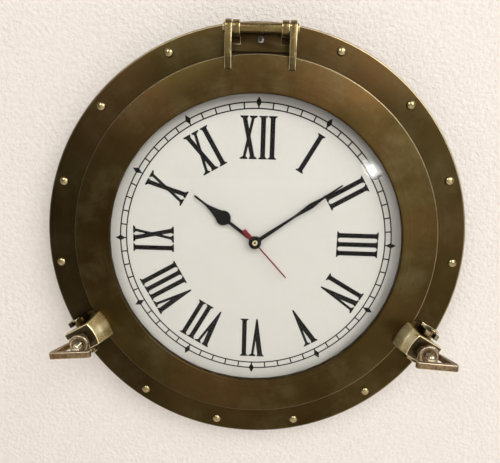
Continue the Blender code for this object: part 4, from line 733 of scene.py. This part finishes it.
def buildHinge(size):
    front = size["plateFront"]
    plate = slab(mirrored(size["half"]), size["plateBack"], front)
    markWearAndLight(plate, lambda reach, spot: True, -0.55)
    soften(plate, 0.35, 2, 60.0, lambda edge: min(vert.co.z for vert in edge.verts) > front - 0.1
           and min(vert.co.y for vert in edge.verts) > 165, 0.25)
    # painted highlight on the notch's edge beside the left knuckle
    markWearAndLight(plate, lambda reach, spot: -26 < spot.x < -17 and 170.6 < spot.y < 176 and spot.z > front - 0.4, 0.9)
    lower, upper = size["knuckleFeet"]
    pieces = []
    for side in (-1, 1):
        ends = sorted(side * end for end in size["knuckle"])
        outline = [lower] + arcPoints(size["axis"], *size["knuckleArc"], 26) + [upper]
        knuckle = carve(slab(outline, *ends, plane="YZ"), pinHole(size, ends), "DIFFERENCE")
        pieces.append(soften(knuckle, size["soft"]))
    finishPiece("hingeBracket", plate, "aged_brass", "base", ["hinge_bracket"])
    finishPiece("hingeKnuckles", join(*pieces), "bright_brass", "base")
    radius, half = size["pin"], size["pinHalf"]
    pin = turned([(0, -half), (radius, -half, 0.7), (radius, half, 0.7), (0, half)], 64, 3)
    markWearAndLight(pin, lambda reach, spot: abs(spot.z) > half - 0.6)
    finishPiece("hingePin", turnCrossways(pin, size), "bright_brass", "base", ["hinge_pin"])


def buildHingeScrew(size, seat):
    screw = roundHead(size["radius"], size["height"], size["slot"], size["slotDepth"])
    # painted shade on the middle of the head and a painted highlight ring round it
    markWearAndLight(screw, lambda reach, spot: reach < size["dark"], -0.9)
    markWearAndLight(screw, lambda reach, spot: size["dark"] < reach < size["bright"], 0.5)
    moveShape(turnShape(screw, size["turn"], "Z"), (0, size["at"], seat))
    finishPiece("hingeScrew", screw, "steel", "base", ["hinge_bracket_screw"])


def buildHingeArms(size):
    near, far = size["arm"]
    for side, name in ((-1, "left"), (1, "right")):
        ends = sorted((side * near, side * far))
        outline = size["armUnder"] + arcPoints(size["axis"], size["barrel"], -90, 90, 24) + size["armOver"]
        arm = carve(slab(outline, *ends, plane="YZ", rounding=4), pinHole(size, ends), "DIFFERENCE")
        soften(arm, size["soft"])
        for start, end, amount in size["armFade"]:
            cutAcross(arm, (0, end, 0), (0, 1, 0))
        # darker on top towards the foot
        for start, end, amount in size["armFade"]:
            markWearAndLight(arm, lambda reach, spot: start < spot.y <= end and spot.z > 42.6
                     and min(abs(spot.x) - near, far - abs(spot.x)) > 0.5, amount)
        finishPiece("hingeArm_" + name, arm, "bright_brass", "door", ["hinge_arm_" + name])


buildHinge(hinge)
buildHingeScrew(hingeScrew, hinge["plateFront"])
buildHingeArms(hinge)
print("hinge made")

# lugs on the door, slotted for the dog bolts
lug = {"inner": [(162.0, 62.0), (159.2, 57.5), (157.1, 52.5), (155.8, 47.5), (155.2, 42.0)],
       "outer": [(162.2, 42.0), (164.5, 54.6), (167.5, 57.7), (167.5, 62.0)],
       "plate": (162.0, 187.0, 57.6, 62.0), "foot": 42.0, "halfWidth": 12.5, "topHalf": 10.5, "strips": 24,
       "hollow": 1.5, "slot": 5.0, "slotAt": 175.0, "round": 1.0, "soft": 0.5,
       # the inner wall's brightness is polish with painted light, more on the right lug; its streak is a painted
       # highlight
       "wallRubAndLight": {"left": 0.22, "right": 0.55}, "streakAt": {"left": 0.0, "right": 3.0},
       "streak": 1.3, "streakWidth": 3.4}
# degrees round the clock, how far each bolt stands off its slot's middle, and degrees that each loop leans
stations = {"left": 210.0, "right": -30.0}
boltPlay = {"left": (0.0, 1.4), "right": (1.1, 0.9)}
nutTurn = {"left": 4.8, "right": -3.2}


def atStation(side, *rest):
    place = onWall @ Matrix.Rotation(math.radians(stations[side]), 4, "Z")
    for matrix in rest:
        place = place @ matrix
    return place


def buildLug(size, side):
    # a hollowed wall under a slotted plate, narrower at the top, with painted light and a painted highlight streak on
    # its inner face and painted shade on the plate's top
    inside, outside, under, high = size["plate"]
    low, half, strips = size["foot"], size["halfWidth"], size["strips"] // 2
    body = slab(easeThrough(size["inner"], 3) + size["outer"], -half, half, "XZ")
    for step in range(1 - strips, strips):
        cutAcross(body, (0, step * half / strips, 0), (0, 1, 0))
    for vert in body.verts:
        if vert.co.x < inside + 0.1:
            vert.co.x += size["hollow"] * (vert.co.y / half) ** 2
    plate = slab([(inside + 2.5, -half), (outside, -half, size["round"]), (outside, half, size["round"]),
                  (inside + 2.5, half)], under, high)
    body = carve(body, plate, "UNION")
    for vert in body.verts:
        share = (vert.co.z - low) / (high - low)
        vert.co.y *= 1 + (size["topHalf"] / half - 1) * share
    reach, end = size["slot"], outside + 8
    slot = slab(arcPoints((size["slotAt"], 0), reach, 90, 270, 20) + [(end, -reach), (end, reach)], 50, 70)
    body = carve(body, slot, "DIFFERENCE")
    rubAndLight, peak, middle = size["wallRubAndLight"][side], size["streak"], size["streakAt"][side]
    # painted shade: the plate's top face is darkened to the dark reflection it shows
    markWearAndLight(body, lambda reach, spot: spot.z > high - 0.01, -1.0)
    # the inner wall: polish with painted light, stronger on the right lug, and a painted highlight streak up its
    # middle
    markWearAndLight(body, lambda reach, spot: spot.x < inside and low + 0.3 < spot.z < high - 0.1,
             lambda reach, spot: rubAndLight + (peak - rubAndLight) * math.exp(-((spot.y - middle) / size["streakWidth"]) ** 2))
    return soften(body, size["soft"])


# dogs: ears on the base, eye bolts on their pins and pinched loop nuts
dogBracket = {"foot": (165.0, 188.5, 15.8), "footHeight": (32.3, 34.8), "ear": (171.5, 188.0, 34.0, 47.3),
              "earSide": (11.5, 15.8), "notch": (181.0, 42.3, 2.8), "corner": 2.6, "soft": 0.4,
              "rail": (172.0, 190.2, 15.9, 18.3), "railTop": 36.0}


def buildDogBracket(size, facesLight):
    # facesLight is above zero for the right bracket, which has a polished rail and painted light on its ear tops,
    # edges and rail; the left bracket gets painted shade on its ear tops
    start, end, half = size["foot"]
    shape = slab([(start, -half, 2), (end, -half, 1.2), (end, half, 1.2), (start, half, 2)], *size["footHeight"])
    near, far, low, high = size["rail"]
    rail = [(near, low), (far, low), (far, high), (near, high)]
    if facesLight > 0:
        shape = carve(shape, slab(rail, size["footHeight"][0], size["railTop"]), "UNION")
    across, out, reach = size["notch"]
    first, last, low, high = size["ear"]
    for side in (-1, 1):
        ends = sorted(side * end for end in size["earSide"])
        ear = slab([(first, low), (last, low), (last, high, size["corner"]), (first, high, size["corner"])],
                   *ends, plane="XZ")
        notch = slab([(across + reach, high + 2), (across - reach, high + 2)]
                     + arcPoints((across, out), reach, 180, 360, 16), ends[0] - 1, ends[1] + 1, "XZ")
        shape = carve(shape, carve(ear, notch, "DIFFERENCE"), "UNION")
    outerSide = size["earSide"][1]
    # painted shadow on the ears' outer sides
    markWearAndLight(shape, lambda reach, spot: abs(abs(spot.y) - outerSide) < 0.05 and spot.z > size["railTop"], -0.8)
    # ear tops: painted highlight on the right bracket, painted shade on the left
    markWearAndLight(shape, lambda reach, spot: spot.z > high - 0.1, 0.45 if facesLight > 0 else -0.3)
    # rounded edges: wear, brighter on the right bracket as painted highlight
    soften(shape, size["soft"], wearAndLight=0.7 if facesLight > 0 else 0.1)
    # the right bracket's rail is polished and carries a painted highlight
    if facesLight > 0:
        markWearAndLight(shape, lambda reach, spot: spot.y > outerSide + 0.05 and spot.z < size["railTop"] + 0.1, 1.5)
    return shape


# the thread is (radius, share of the pitch) and the tip is (in from the shank, down from the end)
eyeBolt = {"pivot": (181.0, 42.3), "eye": 6.2, "eyeHalf": 8.0, "hole": 2.8, "shank": 3.2, "end": 79.0, "at": 175.0,
           "pitch": 1.25, "threadFrom": 51.0, "thread": [(2.72, 0.4), (2.72, 0.55), (3.2, 0.9), (3.2, 1.0)],
           "tip": [(0.0, 1.7), (0.3, 1.1), (1.0, 0.45), (2.0, 0.1)]}


def layOnPivot(shape, along):
    # a rod along z laid along y on the dog's pivot
    across, out = eyeBolt["pivot"]
    return moveShape(turnShape(shape, math.pi / 2, "X"), (across, along, out))


def buildBolt(size, outwards, along):
    radius, height, end, pitch = size["shank"], size["threadFrom"], size["end"], size["pitch"]
    eye = layOnPivot(rod(size["eye"], -size["eyeHalf"], size["eyeHalf"], 48), along)
    start = size["pivot"][1] + 1
    outline = [(0, start), (radius, start), (radius, height)]
    while height + pitch < end - size["tip"][0][1]:
        outline += [(across, height + pitch * share) for across, share in size["thread"]]
        height += pitch
    outline += [(radius - inwards, end - down) for inwards, down in size["tip"]] + [(0, end)]
    shank = moveShape(turned(outline, 40), (size["at"] + outwards, along, 0))
    hole = layOnPivot(rod(size["hole"], -12, 12, 32), along)
    shape = carve(carve(eye, shank, "UNION"), hole, "DIFFERENCE")
    # the end above the nut is partly rubbed and partly painted highlight, brightest on the tip
    markWearAndLight(shape, lambda reach, spot: spot.z > end - 8, 0.45)
    markWearAndLight(shape, lambda reach, spot: spot.z > end - 1.8, 1.0)
    return shape


dogPin = {"radius": 2.5, "head": 3.9, "headFrom": 16.1, "headTo": 17.6}


def buildDogPin(size, along):
    grip, head, near, far = size["radius"], size["head"], size["headFrom"], size["headTo"]
    shape = turned([(0, -far), (head, -far, 0.4), (head, -near), (grip, -near), (grip, near), (head, near),
                    (head, far, 0.4), (0, far)], 40, 3)
    markWearAndLight(shape, lambda reach, spot: abs(spot.z) > far - 0.4 and reach > head - 0.5)
    return layOnPivot(shape, along)


loopNut = {"foot": 63.2, "footRadius": 5.6, "radius": 9.0, "taper": 4.6, "boss": 8.8, "bore": 3.5, "height": 28.8,
           "barHalf": 17.2, "bar": 3.8, "limb": 2.6, "root": 8.2, "rootUp": 5.2, "thick": 2.8, "corner": 1.8,
           "rim": 2.3, "cup": 1.5, "soft": 0.5}


def buildLoopNut(size):
    rim, cup = size["radius"] - size["rim"], size["boss"] - size["cup"]
    boss = turned([(size["bore"], 0), (size["footRadius"], 0, 0.5), (size["radius"], size["taper"], 1.0),
                   (size["radius"], size["boss"], 0.9), (rim, size["boss"], 0.7), (rim - 1.0, cup, 0.5),
                   (size["bore"], cup - 0.2)], 56, 4)
    half, tall = size["barHalf"], size["height"]
    under = tall - size["bar"]
    outer = [(size["root"], size["rootUp"]), (half, under, 1.2), (half, tall, size["corner"])]
    shape = slab(mirrored(outer), -size["thick"], size["thick"], "XZ", 4)
    window = [(size["root"] - size["limb"], size["rootUp"] - 3), (half - size["limb"] - 0.9, under, 1.6)]
    shape = carve(shape, slab(mirrored(window), -9, 9, "XZ", 4), "DIFFERENCE")
    soften(shape, size["soft"], 3, wearAndLight=0.7)
    shape = carve(shape, rod(rim - 0.4, cup - 0.1, 12, 40), "DIFFERENCE")
    shape = carve(shape, boss, "UNION")
    shape = carve(shape, rod(size["bore"] + 0.05, -1, 12, 40), "DIFFERENCE")
    # the boss rim: rubbed, with a painted highlight
    markWearAndLight(shape, lambda reach, spot: size["boss"] - 0.9 < spot.z < size["boss"] + 0.2
             and rim - 0.3 < reach < size["radius"] + 0.1, 0.5)
    return shape


for side, facesLight in (("left", -1), ("right", 1)):
    outwards, along = boltPlay[side]
    place = atStation(side)
    finishPiece("lug_" + side + "_slotted", buildLug(lug, side), "bright_brass", "door", ["lug_" + side], place,
                lugBrassAndLight)
    finishPiece("dogBracket_" + side, buildDogBracket(dogBracket, facesLight), "aged_brass", "base",
                ["dog_bracket_" + side], place)
    finishPiece("eyeBolt_" + side, buildBolt(eyeBolt, outwards, along), "aged_brass", "dog_" + side,
                ["dog_bolt_" + side], place, boltFinish)
    finishPiece("dogPin_" + side, buildDogPin(dogPin, along), "bright_brass", "dog_" + side, ["dog_pin_" + side],
                place)
    nutPlace = atStation(side, Matrix.Translation((eyeBolt["at"] + outwards, along, loopNut["foot"])),
                         Matrix.Rotation(math.radians(nutTurn[side] - stations[side]), 4, "Z"))
    finishPiece("loopNut_" + side, buildLoopNut(loopNut), "bronze", "nut_" + side, ["dog_nut_" + side], nutPlace)
print("lugs and dogs made")

# small screws of the clamp ring, the backboard and the hatch: (circle, degrees) spots, seat, radius and height
smallScrews = [
    ("clampScrews", "pale_brass", "door", [(141.0, 22.5 + 45 * step) for step in range(8)], 36.38, 2.4, 1.2),
    ("backScrews", "steel", "base", [(180.0, 90 * step) for step in range(4)], 1.9, 3.2, 1.6),
    ("hatchScrews", "steel", "base", [(49.0, 180 * step) for step in range(2)], 1.25, 2.3, 1.1)]


def buildSmallScrews():
    for name, slot, body, spots, seat, radius, height in smallScrews:
        shape = newShape()
        for number, (circle, angle) in enumerate(spots):
            head = roundHead(radius, height, 0.6, height * 0.45, 20)
            turn = Matrix.Rotation(math.radians(angle), 4, "Z") @ Matrix.Translation((circle, 0, seat))
            head.transform(turn @ Matrix.Rotation(number * 1.9, 4, "Z") @ Matrix.Rotation(math.pi, 4, "X"))
            join(shape, head)
        finishPiece(name, shape, slot, body)


buildSmallScrews()

# wall, floor, light and camera
room = {"wallBehind": 0.0006, "wallWide": 24.0, "wallHole": 0.186, "floorDown": -0.75, "stipple": 0.8,
        "wallColour": (0.92, 0.87, 0.82, 1.0), "wallDeep": (0.84, 0.785, 0.73, 1.0),
        "floorColour": (0.82, 0.8, 0.77, 1.0)}


def stageMaterial(name, light, deep, bumpy):
    # pale plaster with a soft stipple, clear from behind
    made, tree, shader = freshMaterial(name)
    where = put(tree, "TexCoord").outputs["Object"]
    stipple = noiseAt(tree, where, 260.0, 4.0, 0.6)
    colour = mixColour(tree, spread(tree, stipple, 0.35, 0.65, 0.0, 0.6), light, deep)
    tree.links.new(colour, shader.inputs["Base Color"])
    shader.inputs["Roughness"].default_value = 0.9
    lift = put(tree, "Bump", {"Height": stipple, "Strength": bumpy, "Distance": 0.003})
    tree.links.new(lift.outputs[0], shader.inputs["Normal"])
    unseen = put(tree, "BsdfTransparent")
    facing = put(tree, "NewGeometry")
    showBlend(tree, facing.outputs["Backfacing"], shader.outputs[0], unseen.outputs[0])
    return made


def buildStage(size):
    wall = bmesh.new()
    for radius in (size["wallHole"], size["wallWide"] / 2):
        bmesh.ops.create_circle(wall, segments=96, radius=radius)
    bmesh.ops.bridge_loops(wall, edges=wall.edges[:])
    wall.transform(Matrix.Translation((0, size["wallBehind"], 0)) @ Matrix.Rotation(math.pi / 2, 4, "X"))
    bmesh.ops.recalc_face_normals(wall, faces=wall.faces)
    if wall.faces[:][0].normal.y > 0:
        bmesh.ops.reverse_faces(wall, faces=wall.faces[:])
    floor = bmesh.new()
    bmesh.ops.create_grid(floor, x_segments=1, y_segments=1, size=size["wallWide"] / 2)
    floor.transform(Matrix.Translation((0, 0, size["floorDown"])))
    for name, shape, colour in (("stageWall", wall, size["wallColour"]), ("stageFloor", floor, size["floorColour"])):
        mesh = bpy.data.meshes.new(name)
        shape.to_mesh(mesh)
        shape.free()
        mesh.materials.append(stageMaterial(name, colour, size["wallDeep"], size["stipple"]))
        holder = newObject(name, mesh)


buildStage(room)


def areaLamp(name, spot, aim, size, power, colour=(1, 1, 1), shape="RECTANGLE", turn=0.0):
    light = bpy.data.lights.new(name, "AREA")
    light.shape, light.size, light.size_y = shape, size[0], size[1]
    light.energy, light.color = power, colour
    facing = (Vector(aim) - Vector(spot)).to_track_quat("-Z", "Y").to_matrix().to_4x4()
    newObject(name, light).matrix_world = Matrix.Translation(spot) @ facing @ Matrix.Rotation(turn, 4, "Z")


lamps = [("softKey", (1.35, -2.1, 1.4), (1.9, 1.9), 49, (1.0, 0.975, 0.95)),
         ("front", (0.0, -3.4, 0.3), (3.2, 3.2), 12, (1.0, 0.98, 0.96)),
         ("lowRight", (1.3, -2.0, -0.35), (1.2, 1.2), 4, (1.0, 0.97, 0.93)),
         ("below", (0.1, -1.7, -1.5), (1.2, 1.2), 14, (1.0, 0.97, 0.94)),
         ("topLeft", (-0.8, -1.8, 1.3), (0.9, 0.9), 12, (1.0, 0.97, 0.94)),
         ("behind", (0.5, 1.6, 0.9), (1.4, 1.4), 24, (1.0, 0.98, 0.96))]
for name, spot, *rest in lamps:
    areaLamp(name, spot, (0, 0, 0), *rest)

world = bpy.data.worlds.new("paleStudio")
bpy.context.scene.world = world
world.use_nodes = True
backdrop = world.node_tree.nodes["Background"].inputs
backdrop["Color"].default_value = (0.97, 0.94, 0.9, 1.0)
backdrop["Strength"].default_value = 0.205

photoCamera = {"spot": (0.003341, -0.44507, 0.084797), "right": (0.99934, 0.02448, 0.02679),
               "up": (-0.03073, 0.17803, 0.98355), "forward": (-0.01931, 0.98372, -0.17866),
               "lens": 33.12, "sensor": 36.0, "pixels": (500, 463)}
lens = bpy.data.cameras.new("photoCamera")
lens.lens, lens.sensor_width, lens.sensor_fit = photoCamera["lens"], photoCamera["sensor"], "HORIZONTAL"
lens.clip_start = 0.01
viewer = newObject("photoCamera", lens)
axes = Matrix((photoCamera["right"], photoCamera["up"], [-value for value in photoCamera["forward"]])).transposed()
viewer.matrix_world = Matrix.Translation(photoCamera["spot"]) @ axes.to_4x4()
bpy.context.scene.camera = viewer


def glassFlare():
    # three small lamps placed where the pane mirrors them to the upper right of the track
    pixel, glassOut, away = (372, 170), 0.0408, 1.5
    wide, high = photoCamera["pixels"]
    focal = photoCamera["lens"] / photoCamera["sensor"] * wide
    aim = axes @ Vector(((pixel[0] - wide / 2) / focal, (high / 2 - pixel[1]) / focal, -1.0))
    start = Vector(photoCamera["spot"])
    spot = start + aim * ((-glassOut - start.y) / aim.y)
    bounced = Vector((aim.x, -aim.y, aim.z)).normalized()
    for wide, high, power in ((0.047, 0.03, 0.36), (0.067, 0.042, 0.24), (0.1, 0.058, 0.18)):
        areaLamp("glassFlare", spot + bounced * away, spot, (wide, high), power, (1, 1, 1), "ELLIPSE", -0.8)


glassFlare()
bpy.context.scene.view_settings.view_transform = "Standard"
